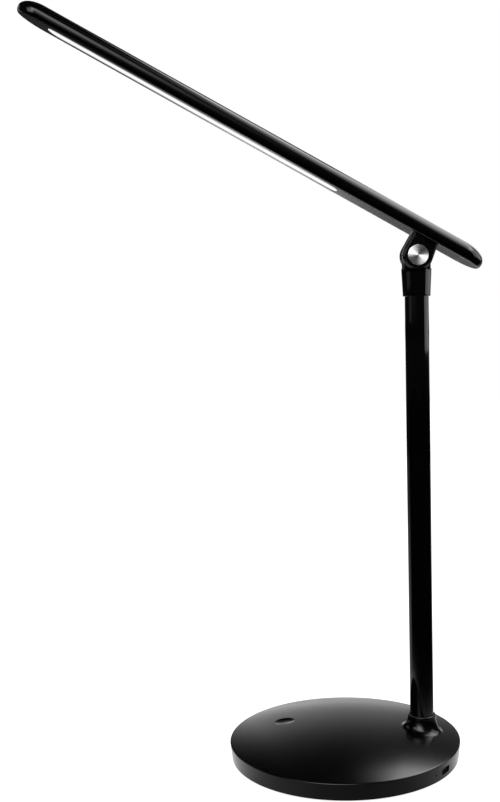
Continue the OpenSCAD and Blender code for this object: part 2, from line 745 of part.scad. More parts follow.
module arm_collar() color(black) difference() {
    at_arm(collar_low) cylinder(h = collar_h, r1 = collar_low_d / 2, r2 = collar_top_d / 2);
    at_arm(collar_low - over) cylinder(h = collar_h + 2 * over, r = arm_r + push_clear);
    cheek_sweep();
}

module hinge_lug() color(black) difference() {
    union() {
        at_arm(tube_top - plug_depth) cylinder(h = plug_depth + eps, r = arm_in_r - push_clear);
        difference() {
            union() {
                at_arm(tube_top) cylinder(h = collar_top - tube_top + eps, r = arm_r);
                at_arm(collar_top) cylinder(h = pivot_z - collar_top, r = neck_r);
            }
            cheek_sweep();
        }
        intersection() {
            at_arm(pivot_z - over) cylinder(h = neck_d, r = neck_r);
            at_pivot() along_y(-lug_w / 2, lug_w / 2, neck_r, neck_r);
        }
    }
    at_pivot() along_y(-fork_w, fork_w, bolt_hole_r, bolt_hole_r);
    at_pivot() rotate([90, 0, 0]) translate([0, 0, -groove_w / 2]) rotate([0, 0, groove_start])
        rotate_extrude(angle = groove_end - groove_start) translate([groove_r, 0]) square([neck_r, groove_w]);
    at_arm(tube_top - plug_depth - over)
        cylinder(h = pivot_z + bore_end - tube_top + plug_depth + over, r = lead_hole_r);
    at_arm(pivot_z + channel_foot) rotate([0, atan2(channel_x, channel_knee - channel_foot), 0])
        cylinder(h = norm([channel_x, channel_knee - channel_foot]), r = lead_hole_r);
    at_arm(pivot_z + channel_knee - over) translate([channel_x, 0, 0])
        cylinder(h = channel_top - channel_knee + over, r = lead_hole_r);
    at_arm() lug_screw_hole(small_r);
}

module lug_screw() color(steel) at_arm(tube_top - lug_screw_drop) rotate([0, 90, 0])
    translate([0, 0, lug_screw_start])
        cylinder(h = arm_r - lug_screw_start - lug_screw_clear, r = small_r - thread_bite);

module arm_lead() color(black) at_pivot() {
    z0 = lead_join_z - pivot_z;
    swept_tube(concat(
        [for (i = [0 : arm_lead_steps]) [0, 0, z0 + (arm_lead_straight - z0) * i / arm_lead_steps]],
        [for (b = arm_lead_bend) [b[0] * channel_x, 0, b[1]]]), lead_d / 2);
}

// The stretch of lead that flexes as the head turns
module hinge_lead() color(black) at_pivot() {
    up = 90 - head_tilt;
    swept_tube(concat(
        [[channel_x, 0, arm_lead_end], [channel_x, 0, 0.4], [channel_x - 0.2, 0, 2.4]],
        [for (a = [hinge_lead_from : hinge_lead_step : hinge_lead_to]) hinge_lead_r * [cos(a), 0, sin(a)]],
        [for (r = [lead_end_r - 1.4, lead_end_r]) r * [cos(up), 0, sin(up)]]),
        lead_d / 2);
}

// The bracket's half ahead of the hinge, from the inner side y out to the chamfered face
module bracket_half(y) linear_extrude(head_off) polygon([[eps, y], [eps, fork_y],
    [-cheek_face_d / 2, fork_y], [-cheek_d / 2, fork_y - cheek_chamfer], [-cheek_d / 2, y]]);

// Shapes behind the hinge, leaning in towards the head
module leaning() multmatrix([[1, 0, -bracket_lean / head_off, 0], [0, 1, 0, 0], [0, 0, 1, 0], [0, 0, 0, 1]])
    children();

module cheek(s) mirror([0, s, 0]) difference() {
    union() {
        along_y(cheek_in, fork_y - cheek_chamfer, cheek_d / 2, cheek_d / 2);
        along_y(fork_y - cheek_chamfer - eps, fork_y, cheek_d / 2, cheek_face_d / 2);
        bracket_half(cheek_in);
        leaning() mirror([1, 0, 0]) bracket_half(cheek_in);
    }
    along_y(0, fork_w, bolt_hole_r, bolt_hole_r);
    along_y(pocket_y, fork_w, pocket_d / 2, pocket_d / 2);
    along_y(cap_y, fork_w, cap_d / 2 + push_clear, cap_d / 2 + push_clear);
}

module hinge_fork() color(black) in_head() difference() {
    union() {
        cheek(0);
        cheek(1);
        box(-cheek_d / 2, 0, -cheek_in - eps, cheek_in + eps, web_z, head_off);
        leaning() box(-over, cheek_d / 2, -cheek_in - eps, cheek_in + eps, web_z, head_off);
        for (s = [-1, 1]) translate([s * post_x, 0, head_off - eps])
            cylinder(h = backbone_z - head_off + eps, r = fork_post_r);
    }
    translate([0, 0, web_z - over]) cylinder(h = head_off, r = lead_hole_r);
    for (s = [-1, 1]) translate([s * post_x, 0, backbone_z - post_hole_depth])
        cylinder(h = post_hole_depth + over, r = small_r);
}

module hinge_bolt() color(steel) in_head() difference() {
    union() {
        along_y(-pocket_y - bolt_head_t, -pocket_y, bolt_head_d / 2, bolt_head_d / 2);
        along_y(-pocket_y - eps, pocket_y + spring_t + nut_t - thread_short, bolt_d / 2, bolt_d / 2);
    }
    translate([0, -pocket_y - bolt_head_t - eps, 0]) rotate([-90, 0, 0])
        cylinder(h = bolt_key_depth, r = bolt_key_r, $fn = 6);
}

module hinge_nut() color(steel) in_head() difference() {
    translate([0, pocket_y + spring_t, 0]) rotate([-90, 0, 0])
        cylinder(h = nut_t, r = bolt_head_d / 2, $fn = 6);
    along_y(0, fork_w, bolt_hole_r, bolt_hole_r);
}

module spring_washer() color(steel) in_head() difference() {
    spring_r = bolt_head_d / 2 + spring_lap;
    along_y(pocket_y, pocket_y + spring_t, spring_r, spring_r - spring_cone);
    along_y(0, fork_w, bolt_hole_r, bolt_hole_r);
}

module friction_washers() color([0.8, 0.78, 0.7]) in_head() for (s = [0, 1]) mirror([0, s, 0]) difference() {
    along_y(lug_w / 2 + fric_play, lug_w / 2 + fric_play + fric_t, fric_d / 2, fric_d / 2);
    along_y(0, fork_w, bolt_hole_r, bolt_hole_r);
}

// A spun metal cap with a rounded edge
module hinge_cap() {
    along_y(cap_y, fork_y - cap_edge, cap_d / 2, cap_d / 2);
    along_y(fork_y - cap_edge - eps, fork_y, cap_d / 2, cap_d / 2 - cap_edge);
}
module hinge_cap_front() color(steel) in_head() mirror([0, 1, 0]) hinge_cap();
module hinge_cap_rear() color(steel) in_head() hinge_cap();

module fork_screws() color(steel) in_head() for (s = [-1, 1])
    translate([s * post_x, 0, backbone_z + backbone_t]) mirror([0, 0, 1])
        pan_screw(small_screw_d - 2 * thread_bite, small_screw_l, small_head_d, small_head_h);

// ---- Head ----

// A solid with a long round-ended plan: outline is a half section of [distance from the middle, height]
module long_round(outline) {
    both = concat(outline, [for (i = [len(outline) - 1 : -1 : 0]) [-outline[i][0], outline[i][1]]]);
    translate([front_c, 0, 0]) rotate([90, 0, 90]) linear_extrude(tail_c - front_c) polygon(both);
    translate([front_c, 0, 0]) rotate([0, 0, 90]) rotate_extrude(angle = 180) polygon(outline);
    translate([tail_c, 0, 0]) rotate([0, 0, -90]) rotate_extrude(angle = 180) polygon(outline);
}
// The same plan for a diffuser-sized slot, from z0 up to z1
module slot_plan(r, z0, z1) translate([0, 0, z0]) linear_extrude(z1 - z0) {
    translate([diff_far + diff_r, -r]) square([diff_near - diff_far - 2 * diff_r, 2 * r]);
    for (x = [diff_far + diff_r, diff_near - diff_r]) translate([x, 0]) circle(r = r);
}

// Half sections of the head's shells; an oval above the widest line and a smaller one below
function top_outline(inset) = concat([[0, edge_z]],
    [for (p = oval(head_r - inset, head_dome_h - inset, 0, 90, plan_steps)) [p[0], p[1] + edge_z]]);
function low_outline(inset, z_top) = let (rx = head_edge_in, ry = head_edge_h)
    concat([[0, head_off + inset]],
        [for (i = [0 : low_steps]) let (a = 90 * i / low_steps - 90)
            [head_r - rx + rx * cos(a) - inset, edge_z + ry * sin(a) + inset * (low_steps - i) / low_steps]],
        [[head_r - inset, z_top], [0, z_top]]);

module at_tail_screws() for (y = [-1, 1]) translate([tail_screw_x, y * tail_screw_y, 0]) children();

module head_top() color(black) in_head() difference() {
    union() {
        difference() {
            long_round(top_outline(0));
            translate([0, 0, -eps]) long_round(top_outline(head_t));
        }
        intersection() {
            at_tail_screws() translate([0, 0, frame_top + tail_post_gap])
                cylinder(h = head_dome_h + head_edge_h, r = tail_post_r);
            union() {
                long_round(top_outline(head_t / 2));
                box(-head_front, head_tail, -head_r, head_r, head_off, edge_z + eps);
            }
        }
    }
    at_tail_screws() translate([0, 0, frame_top]) cylinder(h = tail_hole_top, r = small_r);
}

module head_frame() color(black) in_head() difference() {
    union() {
        difference() {
            long_round(low_outline(0, edge_z));
            long_round(low_outline(head_t, edge_z + over));
        }
        difference() {
            long_round([[0, frame_top - lip_root], [wall_in + lip_root, frame_top - lip_root],
                [wall_in + lip_root, edge_z], [wall_in - lip_gap, edge_z],
                [wall_in - lip_gap - lip_lean, edge_z + lip_h], [0, edge_z + lip_h]]);
            long_round([[0, frame_top], [wall_in - lip_gap - lip_t, frame_top],
                [wall_in - lip_gap - lip_t, edge_z + lip_h + over], [0, edge_z + lip_h + over]]);
        }
    }
    slot_plan(diff_r + diffuser_play, head_off - over, frame_top + over);
    for (s = [-1, 1]) translate([s * post_x, 0, 0]) cylinder(h = top_z, r = fork_post_r + fork_lead_clear);
    cylinder(h = top_z, r = lead_hole_r + fork_lead_clear);
    at_tail_screws() cylinder(h = top_z, r = small_r + hole_clear);
    at_tail_screws() cylinder(h = tail_head_z, r = tail_head_d / 2 + hole_clear);
}

module tail_screws() color(steel) in_head() at_tail_screws() difference() {
    translate([0, 0, tail_head_z])
        pan_screw(small_screw_d - 2 * thread_bite, tail_screw_l, tail_head_d, tail_head_h);
    translate([0, 0, head_off]) cylinder(h = tail_key_depth, r = tail_key_r, $fn = 6);
}

module head_backbone() color(steel) in_head() difference() {
    box(backbone_front, backbone_tail, -backbone_w / 2, backbone_w / 2, backbone_z, backbone_z + backbone_t);
    for (s = [-1, 1]) translate([s * post_x, 0, 0]) cylinder(h = top_z, r = small_r + hole_clear);
}

module led_board() color(white) in_head()
    box(diff_far - board_past_far, diff_near + board_past_near, -board_w / 2, board_w / 2,
        led_board_z, backbone_z);

module leds() color([0.95, 0.85, 0.4]) in_head() {
    pitch = (diff_near - diff_far - 2 * diff_r) / (led_count - 1);
    for (i = [0 : led_count - 1]) translate([diff_far + diff_r + i * pitch, 0, 0])
        box(-led_l / 2, led_l / 2, -led_w / 2, led_w / 2, led_z, led_board_z);
}

// A white channel that flares from the board down to the diffuser
module reflector() color(white) in_head() {
    low = frame_top + flange_t + reflector_play;
    rim = diff_r + flange_in;
    root = board_w / 2 - reflector_lap;
    section = [[-rim, low], [-root, led_board_z], [-root + reflector_t, led_board_z],
        [-rim + reflector_t + reflector_lean, low]];
    translate([diff_far, 0, 0]) rotate([90, 0, 90]) linear_extrude(diff_near - diff_far) {
        polygon(section);
        mirror([1, 0]) polygon(section);
    }
    for (x = [diff_far - reflector_t, diff_near]) translate([x, 0, 0])
        rotate([90, 0, 90]) linear_extrude(reflector_t)
            polygon([[-rim, low], [-root, led_board_z], [root, led_board_z], [rim, low]]);
}

module diffuser() color([1, 1, 1]) in_head() {
    slot_plan(diff_r, head_off, frame_top + eps);
    slot_plan(diff_r + flange_in, frame_top, frame_top + flange_t);
}

module head_lead() color(black) in_head() swept_tube(concat(head_lead_route,
    [for (x = head_lead_near) [diff_near + x, 0, backbone_z - lead_d / 2 - head_lead_gap]]), lead_d / 2);

base_shell();
base_cover();
ballast_plate();
rubber_feet();
cover_screws();
main_board();
board_screws();
usb_socket();
socket_tongue();
touch_pad();
touch_wire();
base_lead();
swivel_bush();
swivel_plate();
plate_screws();
wave_washer();
swivel_flange();
arm_tube();
arm_collar();
hinge_lug();
lug_screw();
arm_lead();
hinge_lead();
hinge_fork();
hinge_bolt();
hinge_nut();
spring_washer();
friction_washers();
hinge_cap_front();
hinge_cap_rear();
fork_screws();
head_lead();
head_top();
head_frame();
tail_screws();
head_backbone();
led_board();
leds();
reflector();
diffuser();
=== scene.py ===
# %% [markdown]
# # A folding desk lamp, dressed in Blender
#
# The lamp's measured solids come in as a fixed frame, in metres, with the origin on the table under
# the centre of the base. This lesson sets up the camera and the room first, then mixes the finishes,
# and then makes the outer pieces one by one, each in the place that the frame gives it. The parts
# inside keep their measured solids and only get a finish.

# %% Load the frame
import math
import bmesh
import bpy
from mathutils import Matrix, Vector


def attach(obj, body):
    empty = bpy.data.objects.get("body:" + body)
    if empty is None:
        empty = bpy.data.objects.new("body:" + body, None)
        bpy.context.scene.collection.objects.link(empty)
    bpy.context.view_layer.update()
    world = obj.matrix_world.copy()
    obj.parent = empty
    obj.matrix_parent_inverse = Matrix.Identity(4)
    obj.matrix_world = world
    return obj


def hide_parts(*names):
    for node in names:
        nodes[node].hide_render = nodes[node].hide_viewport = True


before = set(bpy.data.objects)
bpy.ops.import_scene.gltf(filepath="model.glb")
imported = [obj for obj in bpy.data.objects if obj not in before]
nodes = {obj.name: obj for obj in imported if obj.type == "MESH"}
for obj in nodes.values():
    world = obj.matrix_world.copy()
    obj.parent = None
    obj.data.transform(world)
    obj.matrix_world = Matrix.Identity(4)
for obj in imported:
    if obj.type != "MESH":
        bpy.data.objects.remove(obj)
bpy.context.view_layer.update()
scene = bpy.context.scene
MM = 0.001

# %% [markdown]
# ## The camera
#
# The camera stands a little above the middle of the lamp and looks at it almost level. Its place and
# turn are written as three directions, because they were worked out as directions: where it looks,
# and where its top points. The shift slides the frame without turning the view.

# %% Camera
CAMERA_AT = Vector((-0.0495, -0.7902, 0.3216))
LOOK = Vector((0.0101, 0.99622, -0.08628))
UP_HINT = Vector((0.02446, 0.08601, 0.99599))

back = -LOOK.normalized()
right = UP_HINT.cross(back).normalized()
up = back.cross(right)
lens = bpy.data.cameras.new("lamp_view")
lens.lens = 47.7
lens.sensor_width = 36
lens.shift_x, lens.shift_y = -0.0413, 0.0308
lens.clip_start = 0.01
camera = bpy.data.objects.new("lamp_view", lens)
camera.matrix_world = Matrix((
    (right.x, up.x, back.x, CAMERA_AT.x),
    (right.y, up.y, back.y, CAMERA_AT.y),
    (right.z, up.z, back.z, CAMERA_AT.z),
    (0, 0, 0, 1)))
scene.collection.objects.link(camera)
scene.camera = camera
scene.view_settings.view_transform = "Standard"
print("camera", tuple(round(v, 4) for v in CAMERA_AT), "lens", lens.lens)

# %% [markdown]
# ## Node helpers
#
# Every finish is built from nodes, so a few short helpers save a lot of typing. One adds a node, fills
# in its settings and sockets, and links a socket where it is given another node's output. Others do
# one sum, multiply several values, blend two, or turn a value into a ramp. One starts a material with
# its Principled shader, and one starts a node group, so that an effect that several finishes share is
# made only once.

# %% Node helpers
def add(tree, kind, inputs=None, **settings):
    node = tree.nodes.new(kind)
    for name, value in settings.items():
        setattr(node, name, value)
    for name, value in (inputs or {}).items():
        if isinstance(value, bpy.types.NodeSocket):
            tree.links.new(value, node.inputs[name])
        else:
            node.inputs[name].default_value = value
    return node


def maths(tree, operation, *values):
    node = add(tree, "ShaderNodeMath", dict(enumerate(values)), operation=operation)
    return node.outputs[0]


def product(tree, first, *others):
    for other in others:
        first = maths(tree, "MULTIPLY", first, other)
    return first


def blend(tree, share, low, high):
    return add(tree, "ShaderNodeMix", {"Factor": share, 2: low, 3: high}, data_type="FLOAT").outputs[0]


def blend_colours(tree, share, low, high):
    inputs = {"Factor": share, "A": (*low, 1), "B": (*high, 1)}
    return add(tree, "ShaderNodeMix", inputs, data_type="RGBA").outputs["Result"]


def spread(tree, value, low, high):
    return add(tree, "ShaderNodeMapRange", {"Value": value, "To Min": low, "To Max": high}).outputs["Result"]


def ramp(tree, value, stops):
    node = add(tree, "ShaderNodeValToRGB", {"Fac": value})
    elements = node.color_ramp.elements
    while len(elements) < len(stops):
        elements.new(0.5)
    for element, (position, level) in zip(elements, stops):
        element.position = position
        element.color = (level, level, level, 1) if isinstance(level, (int, float)) else (*level, 1)
    return node.outputs["Color"]


def split_up(tree, vector):
    return add(tree, "ShaderNodeSeparateXYZ", {0: vector}).outputs


def on_object(tree):
    return add(tree, "ShaderNodeTexCoord").outputs["Object"]


print("node helpers ready")


# %% Materials and groups
def material(name, colour, **plain):
    made = bpy.data.materials.new(name)
    made.use_nodes = True
    shader = made.node_tree.nodes["Principled BSDF"]
    shader.inputs["Base Color"].default_value = (*colour, 1)
    for socket, value in plain.items():
        shader.inputs[socket.replace("_", " ")].default_value = value
    return made, made.node_tree, shader


def group(name, inputs, outputs):
    tree = bpy.data.node_groups.new(name, "ShaderNodeTree")
    for socket, value in inputs.items():
        made = tree.interface.new_socket(name=socket, in_out="INPUT", socket_type="NodeSocketFloat")
        made.default_value = value
    for socket, kind in outputs.items():
        tree.interface.new_socket(name=socket, in_out="OUTPUT", socket_type="NodeSocket" + kind)
    return tree, add(tree, "NodeGroupInput").outputs, add(tree, "NodeGroupOutput")


def use(tree, shared, **inputs):
    node = add(tree, "ShaderNodeGroup", node_tree=shared)
    for socket, value in inputs.items():
        node.inputs[socket].default_value = value
    return node.outputs


print("material helpers ready")

# %% [markdown]
# ## The room
#
# A glossy black lamp shows the room far more than its own colour, so the room comes before the
# finishes. It is a small studio: a pale paper sweep that runs away behind the lamp, dark at its sides,
# a soft box high up on the right, and another in front on the left. Real lights with edges of every
# softness would take many lamps, so they are painted on the world instead: one ramp goes round the
# horizon, one goes up, and their product is a patch of light. A patch with a slanted edge takes a ramp
# over the sum of both.

# %% World: which way a ray goes
def azimuth_of(tree, place):
    """Where a place or a direction lies around the lamp, from 0 to 1, with 0.5 straight behind it."""
    turn = maths(tree, "ARCTAN2", place["X"], place["Y"])
    return maths(tree, "ADD", maths(tree, "DIVIDE", turn, math.tau), 0.5)


def turn_stops(*stops):
    return [(0.5 + degrees / 360, level) for degrees, level in stops]


def rise_stops(*stops):
    return [(degrees / 90, level) for degrees, level in stops]


world = bpy.data.worlds.new("studio")
world.use_nodes = True
scene.world = world
tree = world.node_tree
way = split_up(tree, add(tree, "ShaderNodeTexCoord").outputs["Generated"])
azimuth = azimuth_of(tree, way)
rise = maths(tree, "DIVIDE", maths(tree, "ARCSINE", way["Z"]), math.pi / 2)
print("world", world.name)

# %% World: the far end of the sweep
across = ramp(tree, azimuth, turn_stops(
    (-24, 0.02), (-17, 0.06), (-12, 0.4), (-7, 1.6), (-3, 1.25), (3, 0.95), (9, 0.9), (14, 0.45),
    (19, 0.35), (25, 0.8), (31, 1.1), (40, 0.02)))
upward = ramp(tree, maths(tree, "ABSOLUTE", rise), rise_stops(
    (0, 0.1), (0.8, 1.5), (3.5, 0.9), (9, 0.52), (15, 0.42), (20, 0.3), (26, 0.14), (32, 0.05),
    (38, 0.015)))
sweep = product(tree, upward, across)
print("sweep made, nodes", len(tree.nodes))

# %% World: the high soft box on the right, with its top and its foot cut at a slant
BOX_LEVEL, TOP_SLANT, FOOT_SLANT = 2.6, -2.16, 3.2


def slanted(slope):
    """The rise, plus a share of how far round to the right a ray goes."""
    return maths(tree, "MULTIPLY_ADD", azimuth, slope, maths(tree, "ADD", rise, -0.5 * slope))


across = ramp(tree, azimuth, turn_stops(
    (4, 0), (8, 0.35), (13, 0.9), (20, 1.05), (30, 0.85), (60, 1.0), (95, 0.9), (125, 0.1), (150, 0)))
upward = ramp(tree, rise, rise_stops(
    (33, 0), (38, 0.95), (50, 1), (56, 0.8), (62, 0.6), (68, 0.2), (75, 0.05), (80, 0)))
top_edge = ramp(tree, slanted(TOP_SLANT), [(0.4, 1), (0.47, 0)])
foot_edge = ramp(tree, slanted(FOOT_SLANT), [(0.525, 0), (0.59, 1)])
soft_box = product(tree, across, upward, top_edge, foot_edge, BOX_LEVEL)
print("soft box made, nodes", len(tree.nodes))

# %% World: the leaning soft box in front
FRONT_LEVEL, FRONT_LEAN = 3.0, -0.57
leaning = maths(tree, "MULTIPLY_ADD", way["Z"], FRONT_LEAN, way["X"])
across = ramp(tree, maths(tree, "ADD", leaning, 1.0), [
    (0.04, 0), (0.16, 0.4), (0.26, 1.3), (0.4, 1.5), (0.52, 1.05), (0.65, 1), (0.7, 0.6), (0.81, 0.1),
    (0.95, 0.01)])
upward = ramp(tree, way["Z"], [
    (0, 0), (0.13, 0.08), (0.27, 0.32), (0.42, 0.85), (0.5, 1), (0.75, 1), (0.9, 0)])
in_front = ramp(tree, product(tree, way["Y"], -1.0), [(0.1, 0), (0.35, 1)])
front_box = product(tree, across, upward, in_front, FRONT_LEVEL)
print("front box made, nodes", len(tree.nodes))

# %% [markdown]
# Mirror rays see the painted lights. Diffuse rays get a plain even fill, because a painted light that
# they only hit by chance would make noise. The camera sees only clean white, which Light Path's Is
# Camera Ray gives without any more light on the lamp.

# %% World: what each ray sees
DARKEST, FILL = 0.004, 0.55
path = add(tree, "ShaderNodeLightPath").outputs
reflected = maths(tree, "ADD", sweep, maths(tree, "ADD", soft_box, front_box))
reflected = maths(tree, "MAXIMUM", reflected, DARKEST)
seen = product(tree, reflected, path["Is Glossy Ray"])
seen = maths(tree, "MULTIPLY_ADD", path["Is Diffuse Ray"], FILL, seen)
for ray in ("Is Camera Ray", "Is Transmission Ray"):
    seen = maths(tree, "MAXIMUM", seen, path[ray])
background = tree.nodes["Background"].inputs
background["Color"].default_value = (1, 1, 1, 1)
tree.links.new(seen, background["Strength"])
print("world done, nodes", len(tree.nodes))

# %% [markdown]
# ## The floor
#
# The lamp stands on the near end of the sweep. A plain pale grid would do for the shadow, but black
# gloss also mirrors the paper, and a real sweep is brighter behind the lamp than beside the camera. So
# the paper gives mirror rays a glow of its own, by direction and by distance from the lamp, and none of
# its diffuse colour, so that nothing is counted twice.

# %% Floor: how bright the paper looks in the lamp's gloss
PAPER, PAPER_SEEN, REACH_SCALE = 0.82, 0.85, 0.4
floor_material, tree, shader = material("paper", (PAPER,) * 3, Roughness=0.9, Specular_IOR_Level=0)
path = add(tree, "ShaderNodeLightPath").outputs
place = on_object(tree)
azimuth = azimuth_of(tree, split_up(tree, place))
around = ramp(tree, azimuth, turn_stops(
    (-179, 0.17), (-164, 0.21), (-152, 0.33), (-140, 0.38), (-128, 0.5), (-116, 0.8), (-104, 1.0),
    (-60, 1.1), (0, 1.0), (60, 1.1), (104, 1.0), (112, 0.85), (124, 0.5), (136, 0.42), (148, 0.27),
    (160, 0.2), (172, 0.16)))
reach = add(tree, "ShaderNodeVectorMath", {0: place}, operation="LENGTH").outputs["Value"]
beside = ramp(tree, reach, [(0.1, 1.0), (0.13, 0.65), (0.16, 0.2), (0.2, 0.05), (0.3, 0.0)])
behind = ramp(tree, product(tree, reach, REACH_SCALE), [
    (0.12, 1.0), (0.36, 0.7), (0.46, 0.36), (0.7, 0.33), (0.8, 0.05)])
how_far_behind = ramp(tree, azimuth, turn_stops(
    (-80, 0), (-60, 0.5), (-32, 0.3), (-22, 0.3), (-12, 1), (35, 1), (60, 0)))
glow = product(tree, around, blend(tree, how_far_behind, beside, behind), path["Is Glossy Ray"])
glow = maths(tree, "MULTIPLY_ADD", path["Is Camera Ray"], PAPER_SEEN, glow)
shader.inputs["Emission Color"].default_value = (1, 1, 1, 1)
tree.links.new(glow, shader.inputs["Emission Strength"])
pale = blend_colours(tree, path["Is Glossy Ray"], (PAPER,) * 3, (0, 0, 0))
tree.links.new(pale, shader.inputs["Base Color"])
print("paper made, nodes", len(tree.nodes))

# %% Floor: the sheet
SHEET_HALF = 4
bm = bmesh.new()
bmesh.ops.create_grid(bm, x_segments=8, y_segments=8, size=SHEET_HALF)
mesh = bpy.data.meshes.new("floor")
bm.to_mesh(mesh)
bm.free()
mesh.materials.append(floor_material)
floor = bpy.data.objects.new("floor", mesh)
scene.collection.objects.link(floor)
print("floor", [round(v, 2) for v in floor.dimensions])

# %% [markdown]
# ## The soft panels
#
# The world can't throw a shadow, so a few real area lights stand around the lamp: one on the right that
# draws the arm's bright edge and the soft shadow, one in front, one low behind the head's tail, and a
# weak strip and panel on the left for the arm's thin left edge. The last one is for the two metal caps
# only. A spun face is dull unless a strong light falls on it, and that light would grey the black
# plastic, so light linking keeps it off everything else.

# %% Soft panels
LAMP_MIDDLE = (0.06, 0, 0.38)


def panel(name, at, target, size, radiance):
    light = bpy.data.lights.new(name, "AREA")
    light.shape = "RECTANGLE"
    light.size, light.size_y = size
    light.energy = radiance * math.pi * size[0] * size[1]
    lamp = bpy.data.objects.new(name, light)
    lamp.location = at
    lamp.rotation_euler = (Vector(target) - Vector(at)).to_track_quat("-Z", "Y").to_euler()
    lamp.visible_camera = False
    scene.collection.objects.link(lamp)
    return lamp


panel("right_panel", (0.8, 0.1, 0.7), (0.0, 0.1, 0.65), (0.8, 0.82), 1.5)
panel("front_panel", (-0.75, -0.6, 0.85), LAMP_MIDDLE, (0.5, 0.5), 1.5)
panel("tail_panel", (0.27, 0.41, 0.585), (0.08, 0, 0.38), (0.25, 0.25), 1.3)
panel("left_strip", (-0.4, -0.15, 0.35), (0.06, 0, 0.35), (0.26, 0.035), 0.24)
panel("left_panel", (-0.67, 0.47, 0.64), LAMP_MIDDLE, (0.35, 0.5), 0.4)
cap_light = panel("cap_light", (-0.72, -0.64, 0.85), LAMP_MIDDLE, (0.75, 0.75), 9.0)
print("panels", len(bpy.data.lights))

# %% [markdown]
# ## The finishes
#
# Four small effects are shared. *Grain* is the fine unevenness of a moulded or painted surface.
# *Handling* is the faint cloudiness that makes a gloss a little duller here and there. *Brushing* is a
# set of fine lines along one direction, and *turning* is the fine rings of a turned metal face. Each
# gives values and normals only, and every finish decides what to do with them. An image of scratches
# could do the same, but a pattern made of noise stays sharp at any distance.

# %% Shared effects
RELIEF = {"Level": "Float", "Normal": "Vector"}


def noise(tree, where, scale, detail):
    return add(tree, "ShaderNodeTexNoise", {"Vector": where, "Scale": scale, "Detail": detail}).outputs["Fac"]


def put_out(tree, out, level, depth, distance):
    """Give a pattern out twice: as a level, and as the normal of the relief that it makes."""
    bump = add(tree, "ShaderNodeBump", {"Strength": depth, "Distance": distance, "Height": level})
    tree.links.new(level, out.inputs["Level"])
    tree.links.new(bump.outputs["Normal"], out.inputs["Normal"])


grain, given, out = group("grain", {"Size": 400.0, "Depth": 0.1}, RELIEF)
level = noise(grain, on_object(grain), given["Size"], detail=3.0)
put_out(grain, out, level, given["Depth"], distance=0.0002)

handling, given, out = group("handling", {"Low": 0.1, "High": 0.2}, {"Roughness": "Float"})
level = noise(handling, on_object(handling), scale=26.0, detail=4.0)
cloud = add(handling, "ShaderNodeMapRange", {
    "Value": level, "From Min": 0.35, "From Max": 0.75, "To Min": given["Low"], "To Max": given["High"]})
handling.links.new(cloud.outputs["Result"], out.inputs["Roughness"])

brushing, given, out = group("brushing", {"Along": 60.0, "Across": 4000.0, "Depth": 0.2}, RELIEF)
stretch = {"X": given["Along"], "Y": given["Across"], "Z": given["Across"]}
stretch = add(brushing, "ShaderNodeCombineXYZ", stretch).outputs[0]
lines = add(brushing, "ShaderNodeVectorMath", {0: on_object(brushing), 1: stretch}, operation="MULTIPLY")
level = noise(brushing, lines.outputs[0], scale=1.0, detail=2.0)
put_out(brushing, out, level, given["Depth"], distance=0.0001)

turning, given, out = group("turning", {"Rings": 60.0, "Depth": 0.2}, RELIEF)
radius = split_up(turning, add(turning, "ShaderNodeUVMap", uv_map="turned").outputs["UV"])["Y"]
rings = {"W": product(turning, radius, given["Rings"]), "Scale": 1.0, "Detail": 3.0}
level = add(turning, "ShaderNodeTexNoise", rings, noise_dimensions="1D").outputs["Fac"]
put_out(turning, out, level, given["Depth"], distance=0.00005)
print("shared effects", [tree.name for tree in bpy.data.node_groups])

# %% [markdown]
# The housing is black plastic: highly polished on the arm, well polished on the head, and softer on the
# base. A single black with one roughness looks like a hole, so each black goes between two near tones
# in its grain, and its roughness drifts as if it had been handled. The head's flat underside and the
# fork are satin. Two materials on one mesh would give a hard line between them, so a mask on the
# vertices takes the roughness over to satin.

# %% Plastics and rubber
finishes = {}


def plastic(name, dark, light, rough, size=900.0, depth=0.05, satin=0, **plain):
    """A moulded or painted surface: two near colours in its grain, and a roughness that drifts.

    Where the mesh carries a satin mask, the roughness goes over to the satin one.
    """
    finishes[name], tree, shader = material(name, light, **plain)
    fine = use(tree, grain, Size=size, Depth=depth)
    tone = ramp(tree, fine["Level"], [(0.3, dark), (0.7, light)])
    tree.links.new(tone, shader.inputs["Base Color"])
    tree.links.new(fine["Normal"], shader.inputs["Normal"])
    gloss = use(tree, handling, Low=rough[0], High=rough[1])["Roughness"]
    if satin:
        mask = add(tree, "ShaderNodeAttribute", attribute_name="satin").outputs["Fac"]
        gloss = blend(tree, mask, gloss, satin)
    tree.links.new(gloss, shader.inputs["Roughness"])


plastic("base_gloss", (0.0006, 0.0006, 0.0007), (0.001, 0.001, 0.0011), (0.16, 0.19), depth=0.02)
plastic("head_gloss", (0.0009, 0.0009, 0.001), (0.0013, 0.0013, 0.0015), (0.1, 0.14), depth=0.02,
        satin=0.2)
plastic("arm_black", (0.0009, 0.0009, 0.001), (0.0013, 0.0013, 0.0014), (0.05, 0.075), depth=0.01)
plastic("matte_black", (0.004, 0.004, 0.0045), (0.008, 0.008, 0.009), (0.5, 0.65), depth=0.5)
plastic("foot_rubber", (0.008, 0.008, 0.008), (0.016, 0.016, 0.016), (0.75, 0.9), 2500.0, 0.6)
plastic("lead_black", (0.006, 0.006, 0.007), (0.012, 0.012, 0.013), (0.35, 0.5), 3000.0, 0.3)
plastic("wire_red", (0.35, 0.012, 0.01), (0.5, 0.02, 0.016), (0.35, 0.5), 3000.0, 0.2)
plastic("bearing_plastic", (0.62, 0.6, 0.52), (0.75, 0.73, 0.66), (0.35, 0.5), 1500.0, 0.1,
        Subsurface_Weight=0.1, Subsurface_Scale=0.001)
